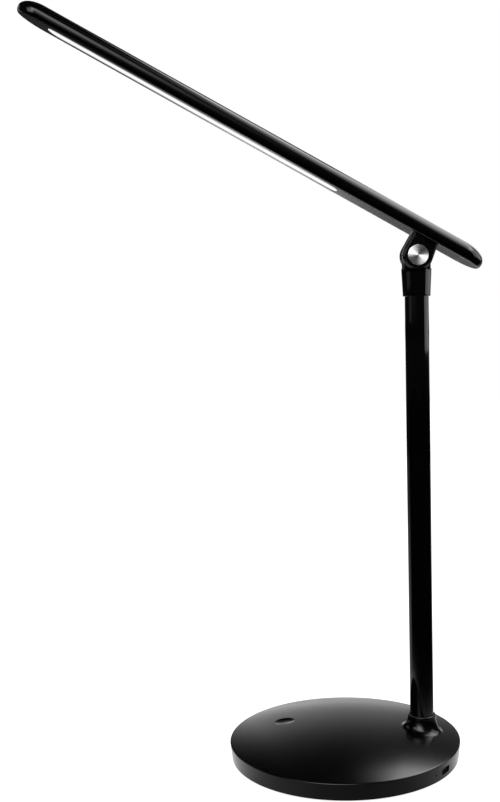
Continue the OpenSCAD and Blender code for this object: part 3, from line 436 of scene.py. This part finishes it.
plastic("white_plastic", (0.74, 0.74, 0.72), (0.84, 0.84, 0.82), (0.3, 0.42), 1500.0, 0.1)
print("plastics", sorted(finishes))

# %% [markdown]
# The screws, plates and contacts are brushed metal: the lines carry the colour, the roughness and the
# relief. The hinge's caps are turned, and a turned face shines along its rings, so its shader is
# anisotropic and gets the rings' direction from a map of its own.

# %% Metals
def metal(name, dark, light, rough, along=60.0, across=4000.0, depth=0.2):
    finishes[name], tree, shader = material(name, light, Metallic=1.0)
    fine = use(tree, brushing, Along=along, Across=across, Depth=depth)
    tree.links.new(ramp(tree, fine["Level"], [(0.3, dark), (0.7, light)]), shader.inputs["Base Color"])
    tree.links.new(spread(tree, fine["Level"], *rough), shader.inputs["Roughness"])
    tree.links.new(fine["Normal"], shader.inputs["Normal"])


metal("steel", (0.5, 0.5, 0.51), (0.66, 0.66, 0.68), (0.25, 0.4))
# Below, the inlet's socket is given this dark steel: there its darkness is painted shade, for the shade
# inside the inlet window.
metal("dark_steel", (0.02, 0.02, 0.022), (0.035, 0.035, 0.038), (0.4, 0.55))
metal("copper", (0.72, 0.34, 0.2), (0.87, 0.45, 0.28), (0.25, 0.42), 400.0, 900.0)
print("metals", len(finishes))

# %% Spun metal
finishes["spun_metal"], tree, shader = material(
    "spun_metal", (0.85, 0.85, 0.86), Metallic=1.0, Anisotropic=0.9, Anisotropic_Rotation=0.25)
fine = use(tree, turning, Rings=70.0, Depth=0.3)
tone = ramp(tree, fine["Level"], [(0.3, (0.72, 0.72, 0.73)), (0.7, (0.92, 0.92, 0.93))])
tree.links.new(tone, shader.inputs["Base Color"])
tree.links.new(spread(tree, fine["Level"], 0.44, 0.54), shader.inputs["Roughness"])
tree.links.new(fine["Normal"], shader.inputs["Normal"])
tangent = add(tree, "ShaderNodeTangent", direction_type="UV_MAP", uv_map="turned")
tree.links.new(tangent.outputs["Tangent"], shader.inputs["Tangent"])
print("spun metal ready")

# %% [markdown]
# The circuit board has copper tracks under a green lacquer: a wave pattern, bent by noise, gives the
# tracks, and they stand a touch proud. The strip that carries the LEDs is white lacquer with the same
# tracks very faint.

# %% Boards and LEDs
def board(name, lacquer, track, scale):
    finishes[name], tree, shader = material(name, lacquer, Roughness=0.3, Coat_Weight=0.6)
    waves = {"Vector": on_object(tree), "Scale": scale, "Distortion": 6.0, "Detail": 2.0}
    waves = add(tree, "ShaderNodeTexWave", waves).outputs["Fac"]
    lines = ramp(tree, waves, [(0.62, 0), (0.7, 1)])
    tree.links.new(blend_colours(tree, lines, lacquer, track), shader.inputs["Base Color"])
    bump = add(tree, "ShaderNodeBump", {"Strength": 0.3, "Distance": 0.0001, "Height": lines})
    tree.links.new(bump.outputs["Normal"], shader.inputs["Normal"])


board("circuit_board", (0.01, 0.09, 0.03), (0.05, 0.22, 0.08), 120.0)
board("white_board", (0.8, 0.8, 0.78), (0.7, 0.7, 0.66), 90.0)

finishes["led_yellow"], tree, shader = material("led_yellow", (0.9, 0.62, 0.12), Roughness=0.35)
fine = use(tree, grain, Size=3000.0, Depth=0.3)
tone = ramp(tree, fine["Level"], [(0.3, (0.8, 0.5, 0.07)), (0.7, (0.95, 0.72, 0.2))])
tree.links.new(tone, shader.inputs["Base Color"])
tree.links.new(fine["Normal"], shader.inputs["Normal"])
shader.inputs["Emission Color"].default_value = (1.0, 0.93, 0.8, 1)
shader.inputs["Emission Strength"].default_value = 1.0
print("boards and LEDs ready")

# %% [markdown]
# The diffuser is lit from behind. Real light through milky plastic would need many samples, so the
# plastic glows by itself: almost evenly along the strip, with a slight swell over each LED, and less
# and less towards both long edges, as a deep milky strip does.

# %% Diffuser
LED_PITCH, GLOW, SWELL, EDGE_SCALE = 0.0099, 0.9, 0.006, 100.0
finishes["diffuser_white"], tree, shader = material(
    "diffuser_white", (0.3, 0.3, 0.295), Specular_IOR_Level=0.2)
tree.links.new(use(tree, handling, Low=0.4, High=0.5)["Roughness"], shader.inputs["Roughness"])
tree.links.new(use(tree, grain, Size=2500.0, Depth=0.15)["Normal"], shader.inputs["Normal"])
place = split_up(tree, add(tree, "ShaderNodeUVMap", uv_map="along").outputs["UV"])
swell = maths(tree, "COSINE", product(tree, place["X"], math.tau / LED_PITCH))
edge = product(tree, maths(tree, "ABSOLUTE", place["Y"]), EDGE_SCALE)
fall = ramp(tree, edge, [(0.0, 1.0), (0.3, 0.98), (0.5, 0.85), (0.7, 0.55), (0.85, 0.3), (0.97, 0.16)])
glow = product(tree, maths(tree, "MULTIPLY_ADD", swell, SWELL, GLOW), fall)
shader.inputs["Emission Color"].default_value = (1, 1, 1, 1)
tree.links.new(glow, shader.inputs["Emission Strength"])
print("diffuser ready")

# %% Finish the measured solids
for node in nodes.values():
    slot = node.material_slots[0]
    slot.material = finishes[slot.material.name.split(".")[0]]
# The socket takes the dark steel instead of its own finish: painted shade, so that it reads dark inside the
# inlet window.
nodes["usb_socket"].material_slots[0].material = finishes["dark_steel"]
print("finishes", len(finishes), "on", len(nodes), "nodes")

# %% [markdown]
# ## Shapes by turning and sweeping
#
# Most of the lamp's shapes are turned: a profile is drawn with a few vertices, and bmesh spins it about
# an axis. The head's parts are swept instead: half a cross-section goes around the long round plan,
# with half a turn at each end and a straight run along each side. Each bmesh then has its doubled seams
# closed and its faces turned outwards, and only real corners are marked as sharp, so that the curves
# between them shine smoothly.

# %% Shape helpers: from a bmesh to an object
SHARP, MERGE, LEAST_EDGE = math.radians(40), 1e-6, 1e-7


def merged(bm):
    bmesh.ops.remove_doubles(bm, verts=bm.verts, dist=MERGE)
    bmesh.ops.recalc_face_normals(bm, faces=bm.faces)
    return bm


def moved(bm, place):
    bm.transform(place)
    return bm


def to_object(bm, name, finish):
    bmesh.ops.remove_doubles(bm, verts=bm.verts, dist=MERGE)
    bmesh.ops.dissolve_degenerate(bm, dist=LEAST_EDGE, edges=bm.edges)
    bmesh.ops.recalc_face_normals(bm, faces=bm.faces)
    mesh = bpy.data.meshes.new(name)
    bm.to_mesh(mesh)
    bm.free()
    mesh.shade_smooth()
    mesh.set_sharp_from_angle(angle=SHARP)
    mesh.materials.append(finishes[finish])
    made = bpy.data.objects.new(name, mesh)
    scene.collection.objects.link(made)
    return made


def cut(thing, cutters):
    for cutter in cutters:
        modifier = thing.modifiers.new("cut", "BOOLEAN")
        modifier.operation = "DIFFERENCE"
        modifier.solver = "EXACT"
        modifier.object = cutter
    bpy.context.view_layer.update()
    solid = bpy.data.meshes.new_from_object(thing.evaluated_get(bpy.context.evaluated_depsgraph_get()))
    thing.modifiers.clear()
    solid.set_sharp_from_angle(angle=SHARP)
    thing.data = solid
    for cutter in cutters:
        bpy.data.objects.remove(cutter)
    return thing


def joined(name, finish, *things):
    bm = bmesh.new()
    for thing in things:
        bm.from_mesh(thing.data)
        bpy.data.objects.remove(thing)
    return to_object(bm, name, finish)


def settle(thing, body, replaced):
    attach(thing, body)
    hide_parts(replaced)
    print(thing.name, "faces", len(thing.data.polygons), "rides", body)


def satin(thing, levels):
    """How far each vertex's finish goes over to satin."""
    mask = thing.data.attributes.new("satin", "FLOAT", "POINT")
    mask.data.foreach_set("value", levels)


print("object helpers ready")


# %% Shape helpers: drawing, turning and sweeping
def arc(centre, radius, start, end, steps, rise=None):
    """Points on an arc, or on part of an oval where a second radius is given."""
    turns = [math.radians(start + (end - start) * i / steps) for i in range(steps + 1)]
    return [(centre[0] + radius * math.cos(a), centre[1] + (rise or radius) * math.sin(a)) for a in turns]


def between(start, end, steps):
    """The points that cut a straight line into equal steps, both ends included."""
    return [tuple(a + (b - a) * i / steps for a, b in zip(start, end)) for i in range(steps + 1)]


def draw(bm, points, closed=False):
    verts = [bm.verts.new(p) for p in points]
    ends = zip(verts, verts[1:] + verts[:1]) if closed else zip(verts, verts[1:])
    return verts + [bm.edges.new(pair) for pair in ends]


def only(kind, geometry):
    return [item for item in geometry if isinstance(item, kind)]


def turned_shape(profile, steps=192, closed=False):
    """A bmesh of a profile of (radius, height) points, spun about Z."""
    bm = bmesh.new()
    geometry = draw(bm, [(r, 0, z) for r, z in profile], closed)
    bmesh.ops.spin(bm, geom=geometry, cent=(0, 0, 0), axis=(0, 0, 1), dvec=(0, 0, 0), angle=math.tau,
                   steps=steps, use_merge=True, use_normal_flip=False, use_duplicate=False)
    return merged(bm)


def long_shape(profile, front, tail, steps=64):
    """A bmesh of a profile of (distance from the middle, height) points, swept around a long plan."""
    bm = bmesh.new()
    ring = draw(bm, [(tail, -d, z) for d, z in profile])
    for start, end in ((tail, front), (front, tail)):
        turned = bmesh.ops.spin(bm, geom=ring, cent=(start, 0, 0), axis=(0, 0, 1), dvec=(0, 0, 0),
                                angle=math.pi, steps=steps, use_merge=False, use_normal_flip=False,
                                use_duplicate=False)
        last = only(bmesh.types.BMEdge, turned["geom_last"])
        run = bmesh.ops.extrude_edge_only(bm, edges=last)["geom"]
        ring = only((bmesh.types.BMVert, bmesh.types.BMEdge), run)
        bmesh.ops.translate(bm, verts=only(bmesh.types.BMVert, ring), vec=(end - start, 0, 0))
    return merged(bm)


def prism(outline, y0, y1):
    """A bmesh of an outline of (x, z) points, drawn out along Y."""
    bm = bmesh.new()
    draw(bm, [(x, y0, z) for x, z in outline], closed=True)
    face = bmesh.ops.contextual_create(bm, geom=bm.edges[:])["faces"]
    drawn = bmesh.ops.extrude_face_region(bm, geom=face, use_keep_orig=True)["geom"]
    bmesh.ops.translate(bm, verts=only(bmesh.types.BMVert, drawn), vec=(0, y1 - y0, 0))
    return bm


print("shape helpers ready")

# %% [markdown]
# ## The base
#
# The base is one moulded shell: a shallow dome that is part of a large ball, a small round rim, and a
# side wall that leans in a little. A flattened ball could be scaled to it, but then the rim would be
# hard to keep true, so the whole section is drawn once and spun. The dome's height is a function of
# its radius, because the dish and the boot have to find it too.

# %% Base dimensions
RIM_R, RIM_Z, LOW_R, LOW_Z = 87.49 * MM, 13.4 * MM, 86.1 * MM, 1.0 * MM
DOME_R, DOME_C, SHELL_T, RIM_ROUND = 429.85 * MM, -407.45 * MM, 2.4 * MM, 0.8 * MM
ARM_X, ARM_R, BORE_R = 59.5 * MM, 8.9 * MM, 8.96 * MM
LEAN = math.degrees(math.atan2(RIM_R - LOW_R, RIM_Z - LOW_Z))
RIM_SLOPE = math.degrees(math.asin(RIM_R / DOME_R))
AT_ARM = Matrix.Translation((ARM_X, 0, 0))


def dome(r, inset=0.0):
    """The height of the dome, or of a dome that lies deeper by the inset, at a distance from the middle."""
    return DOME_C + math.sqrt((DOME_R - inset) ** 2 - r * r)


print("rim", RIM_R, "dome at the arm", round(dome(ARM_X) / MM, 3))

# %% Base shell
RINGS, INNER_RINGS, BEHIND_WALL, FOOT_CHAMFER, FOOT_LEAN = 64, 16, 0.5 * MM, 0.2 * MM, 0.02 * MM


def steps_to(radius, steps):
    return [radius * i / steps for i in range(steps + 1)]


edge_c = RIM_R - RIM_ROUND
rim_c = (edge_c, dome(edge_c) - RIM_ROUND / math.cos(math.radians(RIM_SLOPE)))
rim = arc(rim_c, RIM_ROUND, 90 - RIM_SLOPE, -LEAN, 10)
outer = [(r, dome(r)) for r in steps_to(rim[0][0], RINGS)[:-1]]
inner = [(r, dome(r, SHELL_T)) for r in reversed(steps_to(RIM_R - SHELL_T - BEHIND_WALL, INNER_RINGS))]
low = [(LOW_R + FOOT_LEAN, LOW_Z + FOOT_CHAMFER), (LOW_R - FOOT_CHAMFER, LOW_Z), (LOW_R - SHELL_T, LOW_Z)]
shell = to_object(turned_shape(outer + rim + low + inner, steps=288), "shell", "base_gloss")
print("shell", len(shell.data.polygons))

# %% [markdown]
# The touch dish is a shallow spherical hollow, whose edge rolls over into the dome. An inset and a push
# would follow the shell's own rings, so the dish is its own turned cutter, tilted with the dome, and a
# Boolean takes it out.

# %% Touch dish
BOWL_R, DISH_DEPTH, DISH_HALF, ROLL_R = 27.267 * MM, 1.2 * MM, 8.0 * MM, 3.0 * MM
DISH_AZ, DISH_AWAY, ROLL_IN = math.radians(158.1), 49.2 * MM, math.radians(0.5)
LIP_OUT, LIP_TOP_OUT, ABOVE_DISH = 0.4 * MM, 0.6 * MM, 2 * MM


def dish_cutter():
    slope = math.asin(DISH_HALF / BOWL_R)
    lead_in = ROLL_R * math.tan(slope / 2 + ROLL_IN)
    start = (DISH_HALF - lead_in * math.cos(slope), -lead_in * math.sin(slope))
    bottom = math.degrees(math.asin(start[0] / BOWL_R))
    points = arc((0, BOWL_R - DISH_DEPTH), BOWL_R, -90, bottom - 90, 24)
    roll_c = (start[0] + ROLL_R * math.sin(slope), start[1] - ROLL_R * math.cos(slope))
    points += arc(roll_c, ROLL_R, 90 + math.degrees(slope), 90, 10)[1:]
    last = points[-1]
    points += [(last[0] + LIP_OUT, last[1]), (last[0] + LIP_TOP_OUT, ABOVE_DISH), (0, ABOVE_DISH)]
    place = Matrix.Rotation(DISH_AZ, 4, "Z") @ Matrix.Translation((DISH_AWAY, 0, dome(DISH_AWAY)))
    place = place @ Matrix.Rotation(math.asin(DISH_AWAY / DOME_R), 4, "Y")
    return to_object(moved(turned_shape(points, steps=128), place), "dish_cutter", "base_gloss")


print("dish", round(2 * DISH_HALF / MM, 2), "mm wide and", round(DISH_DEPTH / MM, 2), "mm deep")

# %% [markdown]
# The power inlet shows as a rounded window in the side wall, with a tiny pin hole beside it. A beveled
# cube cuts the window, and a second, larger one just inside the wall makes the dark well around the
# socket. Both are made along X and then turned to where the inlet is.

# %% Inlet window, its well and the pin hole
INLET_AZ, INLET_Z, PIN_TURN = math.radians(-37.3), 6.8 * MM, math.radians(8.5)
WINDOW_W, WINDOW_H, WINDOW_ROUND, WINDOW_IN, WINDOW_OUT = 10.6 * MM, 4.8 * MM, 1 * MM, -6 * MM, 4 * MM
WELL_W, WELL_H, WELL_ROUND, WELL_IN, WELL_OUT = 12.6 * MM, 6.8 * MM, 2 * MM, -4 * MM, -1.2 * MM
PIN_R, PIN_LENGTH, PIN_OUT = 0.8 * MM, 3 * MM, 0.3 * MM
HOLE_R, HOLE_H = BORE_R + 0.5 * MM, 40 * MM
wall_at_inlet = LOW_R + (INLET_Z - LOW_Z) * math.tan(math.radians(LEAN))


def slab(name, width, height, radius, start, end):
    """A box with rounded long edges, from start to end as measured outwards from the wall."""
    bm = bmesh.new()
    middle = Matrix.Translation((wall_at_inlet + (start + end) / 2, 0, INLET_Z))
    size = Matrix.Diagonal((end - start, width, height, 1))
    bmesh.ops.create_cube(bm, size=1, matrix=middle @ size)
    long_edges = [e for e in bm.edges if abs(e.verts[0].co.x - e.verts[1].co.x) > MERGE]
    bmesh.ops.bevel(bm, geom=long_edges, offset=radius, segments=8, profile=0.5, affect="EDGES", material=-1)
    return to_object(moved(bm, Matrix.Rotation(INLET_AZ, 4, "Z")), name, "base_gloss")


def window_cutter():
    return slab("window_cutter", WINDOW_W, WINDOW_H, WINDOW_ROUND, WINDOW_IN, WINDOW_OUT)


def pin_cutter():
    bm = bmesh.new()
    bmesh.ops.create_cone(bm, cap_ends=True, segments=32, radius1=PIN_R, radius2=PIN_R, depth=PIN_LENGTH)
    place = Matrix.Rotation(INLET_AZ - PIN_TURN, 4, "Z")
    place = place @ Matrix.Translation((wall_at_inlet + PIN_OUT, 0, INLET_Z))
    return to_object(moved(bm, place @ Matrix.Rotation(math.pi / 2, 4, "Y")), "pin_cutter", "base_gloss")


def hole_cutter():
    bm = turned_shape([(0, 0), (HOLE_R, 0), (HOLE_R, HOLE_H), (0, HOLE_H)], steps=96)
    return to_object(moved(bm, AT_ARM), "hole_cutter", "base_gloss")


cut(shell, [dish_cutter(), window_cutter(), pin_cutter(), hole_cutter()])
well = slab("well", WELL_W, WELL_H, WELL_ROUND, WELL_IN, WELL_OUT)
cut(well, [window_cutter()])
print("shell", len(shell.data.polygons), "well", len(well.data.polygons))

# %% [markdown]
# The boot is the moulded bell that holds the arm. Its mouth is level and its foot runs out into the
# dome, which slopes. A sculpted blend would be hard to repeat, so the bell is turned about the arm's
# axis on a flat floor, and then each of its points is raised by the dome's height right under it,
# fully at the foot and less and less towards the mouth.

# %% Boot
MOUTH_R, FOOT_R, BOOT_H, LIP, FLARE = 10.5 * MM, 16.5 * MM, 11.2 * MM, 0.5 * MM, 0.6 * MM
FOLLOW_POWER, SUNK = 0.8, -1.6 * MM
# How the foot sinks into the dome: distance past FOOT_R and height
SKIRT = ((0.7 * MM, -0.12 * MM), (1.2 * MM, -0.45 * MM), (0.8 * MM, -1.3 * MM))

mouth = arc((BORE_R + FLARE, BOOT_H - FLARE), FLARE, 180, 90, 6)
lip = arc((MOUTH_R - LIP, BOOT_H - LIP), LIP, 90, 5, 6)
bell = arc((FOOT_R, BOOT_H), FOOT_R - MOUTH_R, 186, 270, 21, rise=BOOT_H)
skirt = [(FOOT_R + out, z) for out, z in SKIRT] + [(BORE_R, SUNK)]
bm = turned_shape(mouth + lip + bell + skirt, steps=192, closed=True)
for vert in bm.verts:
    away = math.hypot(vert.co.x, vert.co.y)
    share = min(max((away - MOUTH_R) / (FOOT_R - MOUTH_R), 0), 1)
    follow = math.sin(math.acos(1 - share)) ** FOLLOW_POWER
    under = dome(math.hypot(vert.co.x + ARM_X, vert.co.y))
    vert.co.z += under * follow + dome(ARM_X) * (1 - follow)
boot = to_object(moved(bm, AT_ARM), "boot", "base_gloss")
base = joined("base_body", "base_gloss", shell, well, boot)
settle(base, "base", "base_shell")

# %% [markdown]
# ## The arm
#
# The upright is a plain drawn tube, so it is a turned ring of four corners. Many steps matter more than
# many corners here, because every flat along a black tube shows as a stripe.

# %% Arm tube
TUBE_LOW, TUBE_TOP, TUBE_WALL = 8.9 * MM, 362.4 * MM, 1.4 * MM
bore_r = ARM_R - TUBE_WALL
profile = [(bore_r, TUBE_LOW), (ARM_R, TUBE_LOW), (ARM_R, TUBE_TOP), (bore_r, TUBE_TOP)]
tube = to_object(moved(turned_shape(profile, steps=128, closed=True), AT_ARM), "arm_body", "arm_black")
settle(tube, "arm", "arm_tube")

# %% [markdown]
# The collar widens a little towards the hinge, and its two rims have a small round. It is turned too,
# in enough heights that its slope shades evenly. The head folds down against the arm, so a room for
# each cheek of the fork is cut out of the collar's sides.

# %% Collar
PIVOT_Z, COLLAR_LOW, COLLAR_TOP = 376.4 * MM, 346.8 * MM, 367.0 * MM
LOW_COLLAR_R, TOP_COLLAR_R, SOFT, PLAY_ON_TUBE = 10.25 * MM, 11.2 * MM, 0.3 * MM, 0.05 * MM
SWING_R, LUG_HALF, ROOM_BACK, ROOM_TOP, ROOM_SIDE = 11.8 * MM, 5.2 * MM, -25 * MM, 21.4 * MM, 26 * MM
AT_PIVOT = Matrix.Translation((ARM_X, 0, PIVOT_Z))

profile = [(ARM_R + PLAY_ON_TUBE, COLLAR_LOW)]
profile += arc((LOW_COLLAR_R - SOFT, COLLAR_LOW + SOFT), SOFT, -90, 0, 4)
profile += between((LOW_COLLAR_R, COLLAR_LOW + SOFT), (TOP_COLLAR_R, COLLAR_TOP - SOFT), 20)[1:-1]
profile += arc((TOP_COLLAR_R - SOFT, COLLAR_TOP - SOFT), SOFT, 0, 90, 4)
profile += [(ARM_R + PLAY_ON_TUBE, COLLAR_TOP)]
collar = to_object(moved(turned_shape(profile, steps=128, closed=True), AT_ARM), "collar", "arm_black")
room = [(ROOM_BACK, -SWING_R)] + arc((0, 0), SWING_R, -90, 90, 48) + [(0, ROOM_TOP), (ROOM_BACK, ROOM_TOP)]
rooms = [moved(prism(room, side * LUG_HALF, side * ROOM_SIDE), AT_PIVOT) for side in (-1, 1)]
cut(collar, [to_object(bm, "room", "arm_black") for bm in rooms])
settle(collar, "arm", "arm_collar")

# %% [markdown]
# ## The fork
#
# The fork hangs under the head and takes the hinge between its two cheeks. A cheek is round at the
# hinge, with two legs up to the head, and has a wide chamfer all round. Beveling a cut-out plate would
# pinch where the legs meet the round, so the cheek is built from rings of its own outline instead: they
# shrink towards the outside, bridge_loops skins them, and a shallow round recess takes the metal cap.

# %% Fork dimensions
HEAD_OFF, FORK_Y, CHEEK_IN, WEB_Z, BRACKET_LEAN = 13.2 * MM, 12.6 * MM, 6.0 * MM, 11.3 * MM, 2.2 * MM
CHEEK_R, RECESS_R, RECESS_DEPTH, RECESS_EDGE = 11.3 * MM, 7.55 * MM, 1.2 * MM, 0.1 * MM
WEB_BITE, WEB_LEAN = 0.2 * MM, 0.93
AT_HEAD = AT_PIVOT @ Matrix.Rotation(math.radians(30), 4, "Y")
lean_angle = math.atan2(BRACKET_LEAN, HEAD_OFF)
# Each ring's radius and its distance from the middle, in millimetres
CHEEK_RINGS = (
    (11.0, 6.0), (11.3, 6.3), (11.3, 9.0), (11.28, 9.15), (11.22, 9.35), (11.1, 9.6), (9.85, 12.1),
    (9.7, 12.35), (9.58, 12.5), (9.4, 12.58), (9.2, 12.6))
print("fork", 2 * FORK_Y, "wide, leaning", round(math.degrees(lean_angle), 2), "degrees behind")


# %% Fork
def cheek_ring(bm, radius, y):
    """A round cheek's outline with its two legs: upright in front, leaning in behind."""
    tangent = (radius * math.cos(lean_angle), radius * math.sin(lean_angle))
    top_x = tangent[0] - (HEAD_OFF - tangent[1]) * math.tan(lean_angle)
    outline = between((-radius, HEAD_OFF), (-radius, 0), 8)[:-1]
    outline += arc((0, 0), radius, 180, 360 + math.degrees(lean_angle), 64)
    outline += between(tangent, (top_x, HEAD_OFF), 8)[1:]
    return only(bmesh.types.BMEdge, draw(bm, [(x, y, z) for x, z in outline], closed=True))


def recess_cutter(side):
    mouth_r, above = RECESS_R + RECESS_EDGE, 2 * MM
    profile = [(0, 0), (RECESS_R, 0), (RECESS_R, RECESS_DEPTH - RECESS_EDGE), (mouth_r, RECESS_DEPTH)]
    profile += [(mouth_r, above), (0, above)]
    place = Matrix.Translation((0, side * (FORK_Y - RECESS_DEPTH), 0))
    place = place @ Matrix.Rotation(-side * math.pi / 2, 4, "X")
    return to_object(moved(turned_shape(profile, steps=96), place), "recess_cutter", "head_gloss")


bm = bmesh.new()
for side in (-1, 1):
    rings = [cheek_ring(bm, radius * MM, side * y * MM) for radius, y in CHEEK_RINGS]
    for ring, following in zip(rings, rings[1:]):
        bmesh.ops.bridge_loops(bm, edges=ring + following)
    for ends in (rings[0], rings[-1]):
        bmesh.ops.contextual_create(bm, geom=ends)
web_back = CHEEK_R - BRACKET_LEAN * WEB_LEAN
web = Matrix.Translation(((web_back - CHEEK_R) / 2, 0, (WEB_Z + HEAD_OFF) / 2))
web_size = Matrix.Diagonal((web_back + CHEEK_R, 2 * (CHEEK_IN + WEB_BITE), HEAD_OFF - WEB_Z, 1))
bmesh.ops.create_cube(bm, size=1, matrix=web @ web_size)
fork = cut(to_object(bm, "fork", "head_gloss"), [recess_cutter(-1), recess_cutter(1)])
fork.data.transform(AT_HEAD)
satin(fork, [1.0] * len(fork.data.vertices))
settle(fork, "head", "hinge_fork")

# %% [markdown]
# ## The spun caps
#
# A cap's face has fine rings around its middle, and such a face shows two opposite bright fans. Cycles
# draws them with an anisotropic shader, which needs the direction of the rings. So each cap gets a map
# of its own: across is the angle around the middle, and up is the distance from it.

# %% Caps
CAP_R, CAP_T, CAP_EDGE = 7.5 * MM, 1.2 * MM, 0.3 * MM


def cap(side):
    face = between((0, CAP_T), (CAP_R, CAP_T), 12)[:-1]
    edge = arc((CAP_R - CAP_EDGE, CAP_T - CAP_EDGE), CAP_EDGE, 90, 0, 5)
    bm = turned_shape(face + edge + [(CAP_R, 0), (0, 0)], steps=96)
    layer = bm.loops.layers.uv.new("turned")
    for polygon in bm.faces:
        centre = polygon.calc_center_median()
        middle = math.atan2(centre.y, centre.x)
        for loop in polygon.loops:
            co = loop.vert.co
            out = math.hypot(co.x, co.y)
            ahead = math.remainder(math.atan2(co.y, co.x) - middle, math.tau) if out > MERGE else 0
            loop[layer].uv = ((middle + ahead) / math.tau, out / CAP_R)
    place = AT_HEAD @ Matrix.Translation((0, side * (FORK_Y - CAP_T), 0))
    place = place @ Matrix.Rotation(-side * math.pi / 2, 4, "X")
    name = "front" if side < 0 else "rear"
    made = to_object(moved(bm, place), "cap_" + name, "spun_metal")
    settle(made, "head", "hinge_cap_" + name)
    return made


lit_by_cap_light = bpy.data.collections.new("lit_by_cap_light")
for side in (-1, 1):
    lit_by_cap_light.objects.link(cap(side))
cap_light.light_linking.receiver_collection = lit_by_cap_light

# %% [markdown]
# ## The head
#
# The head is two long shells. The top one is half an oval in section, and the frame below it turns in
# with a tighter oval to the flat underside. Both could be bevelled boxes, but a bevel gives one radius
# all round, and here the ends are full half circles in plan. So half a section is swept around the
# same long plan for both, and each has a tiny round where they meet, so that a fine seam shows close up.

# %% Top shell
FRONT_C, TAIL_C, HALF_W = -319.97 * MM, 27.45 * MM, 18 * MM
EDGE_Z, DOME_H, EDGE_IN, HEAD_T, SEAM = 17.4 * MM, 8.98 * MM, 2 * MM, 1.6 * MM, 0.07 * MM

outer = arc((0, EDGE_Z), HALF_W, 90, 1, 40, rise=DOME_H)
inner = arc((0, EDGE_Z), HALF_W - HEAD_T, 0, 90, 20, rise=DOME_H - HEAD_T)
meeting = [(HALF_W, EDGE_Z + SEAM), (HALF_W - SEAM, EDGE_Z)]
top = moved(long_shape(outer + meeting + inner, FRONT_C, TAIL_C), AT_HEAD)
top = to_object(top, "head_top_shell", "head_gloss")
settle(top, "head", "head_top")

# %% [markdown]
# The frame below carries the long slot for the diffuser and the round seats of two tail screws. They
# are cut out with a Boolean, while the head still lies flat, and the whole piece is then turned up to
# its place on the hinge. Its flat underside is marked as satin.

# %% Under frame
SLOT_FRONT, SLOT_TAIL, GLASS_R, PLAY = -302.3 * MM, -83.7 * MM, 9.7 * MM, 0.1 * MM
SEAT_X, SEAT_Y, SEAT_R = 29.5 * MM, 10.5 * MM, 2.2 * MM
FLAT_HALF, INNER_CHAMFER, ON_FLAT = 12 * MM, 0.4 * MM, 0.02 * MM

floor_z = HEAD_OFF + HEAD_T
inner_w = HALF_W - HEAD_T
section = [(0, HEAD_OFF), (FLAT_HALF, HEAD_OFF)]
section += arc((HALF_W - EDGE_IN, EDGE_Z), EDGE_IN, -90, -3, 16, rise=EDGE_Z - HEAD_OFF)
section += [(HALF_W, EDGE_Z - SEAM), (HALF_W - SEAM, EDGE_Z), (inner_w, EDGE_Z)]
section += [(inner_w, floor_z + INNER_CHAMFER), (inner_w - INNER_CHAMFER, floor_z), (0, floor_z)]
under = to_object(long_shape(section, FRONT_C, TAIL_C), "under_frame", "head_gloss")


def through_floor(radius):
    """A profile that goes through the frame's floor and a little past both its sides."""
    return [(0, HEAD_OFF - MM), (radius, HEAD_OFF - MM), (radius, floor_z + MM), (0, floor_z + MM)]


slot = long_shape(through_floor(GLASS_R + PLAY), SLOT_FRONT, SLOT_TAIL)
cutters = [to_object(slot, "slot_cutter", "head_gloss")]
for side in (-1, 1):
    at_seat = Matrix.Translation((SEAT_X, side * SEAT_Y, 0))
    seat = moved(turned_shape(through_floor(SEAT_R), steps=48), at_seat)
    cutters.append(to_object(seat, "seat_cutter", "head_gloss"))
cut(under, cutters)
flat = [float(v.co.z < HEAD_OFF + ON_FLAT) for v in under.data.vertices]
under.data.transform(AT_HEAD)
satin(under, flat)
settle(under, "head", "head_frame")

# %% [markdown]
# The diffuser is a long milky strip that fills the slot. It has the same plan as the slot, a little
# smaller, and a fine round along its edge. Its map is its own length and width in metres, which its
# glow reads.

# %% Diffuser strip
GLASS_T, GLASS_SOFT, GLASS_BAND = 2.4 * MM, 0.25 * MM, 2 * MM
section = [(0, HEAD_OFF), (GLASS_R - GLASS_BAND, HEAD_OFF), (GLASS_R - GLASS_SOFT, HEAD_OFF)]
section += arc((GLASS_R - GLASS_SOFT, HEAD_OFF + GLASS_SOFT), GLASS_SOFT, -75, 0, 4)
section += [(GLASS_R, HEAD_OFF + GLASS_T), (0, HEAD_OFF + GLASS_T)]
bm = long_shape(section, SLOT_FRONT, SLOT_TAIL)
layer = bm.loops.layers.uv.new("along")
for polygon in bm.faces:
    for loop in polygon.loops:
        loop[layer].uv = loop.vert.co.xy
glass = to_object(moved(bm, AT_HEAD), "diffuser_glass", "diffuser_white")
settle(glass, "head", "diffuser")

# %% [markdown]
# ## A clean dome
#
# The arm's mirror image would draw a dark band right through the soft highlight on the dome, and hide
# how round it is. Moving the arm or the light isn't possible, so mirror rays simply leave out the tube
# and the two pieces inside its lower end.

# %% Leave the tube out of mirror rays
for thing in (tube, nodes["arm_lead"], nodes["swivel_flange"]):
    thing.visible_glossy = False
    print("left out of mirror rays", thing.name)
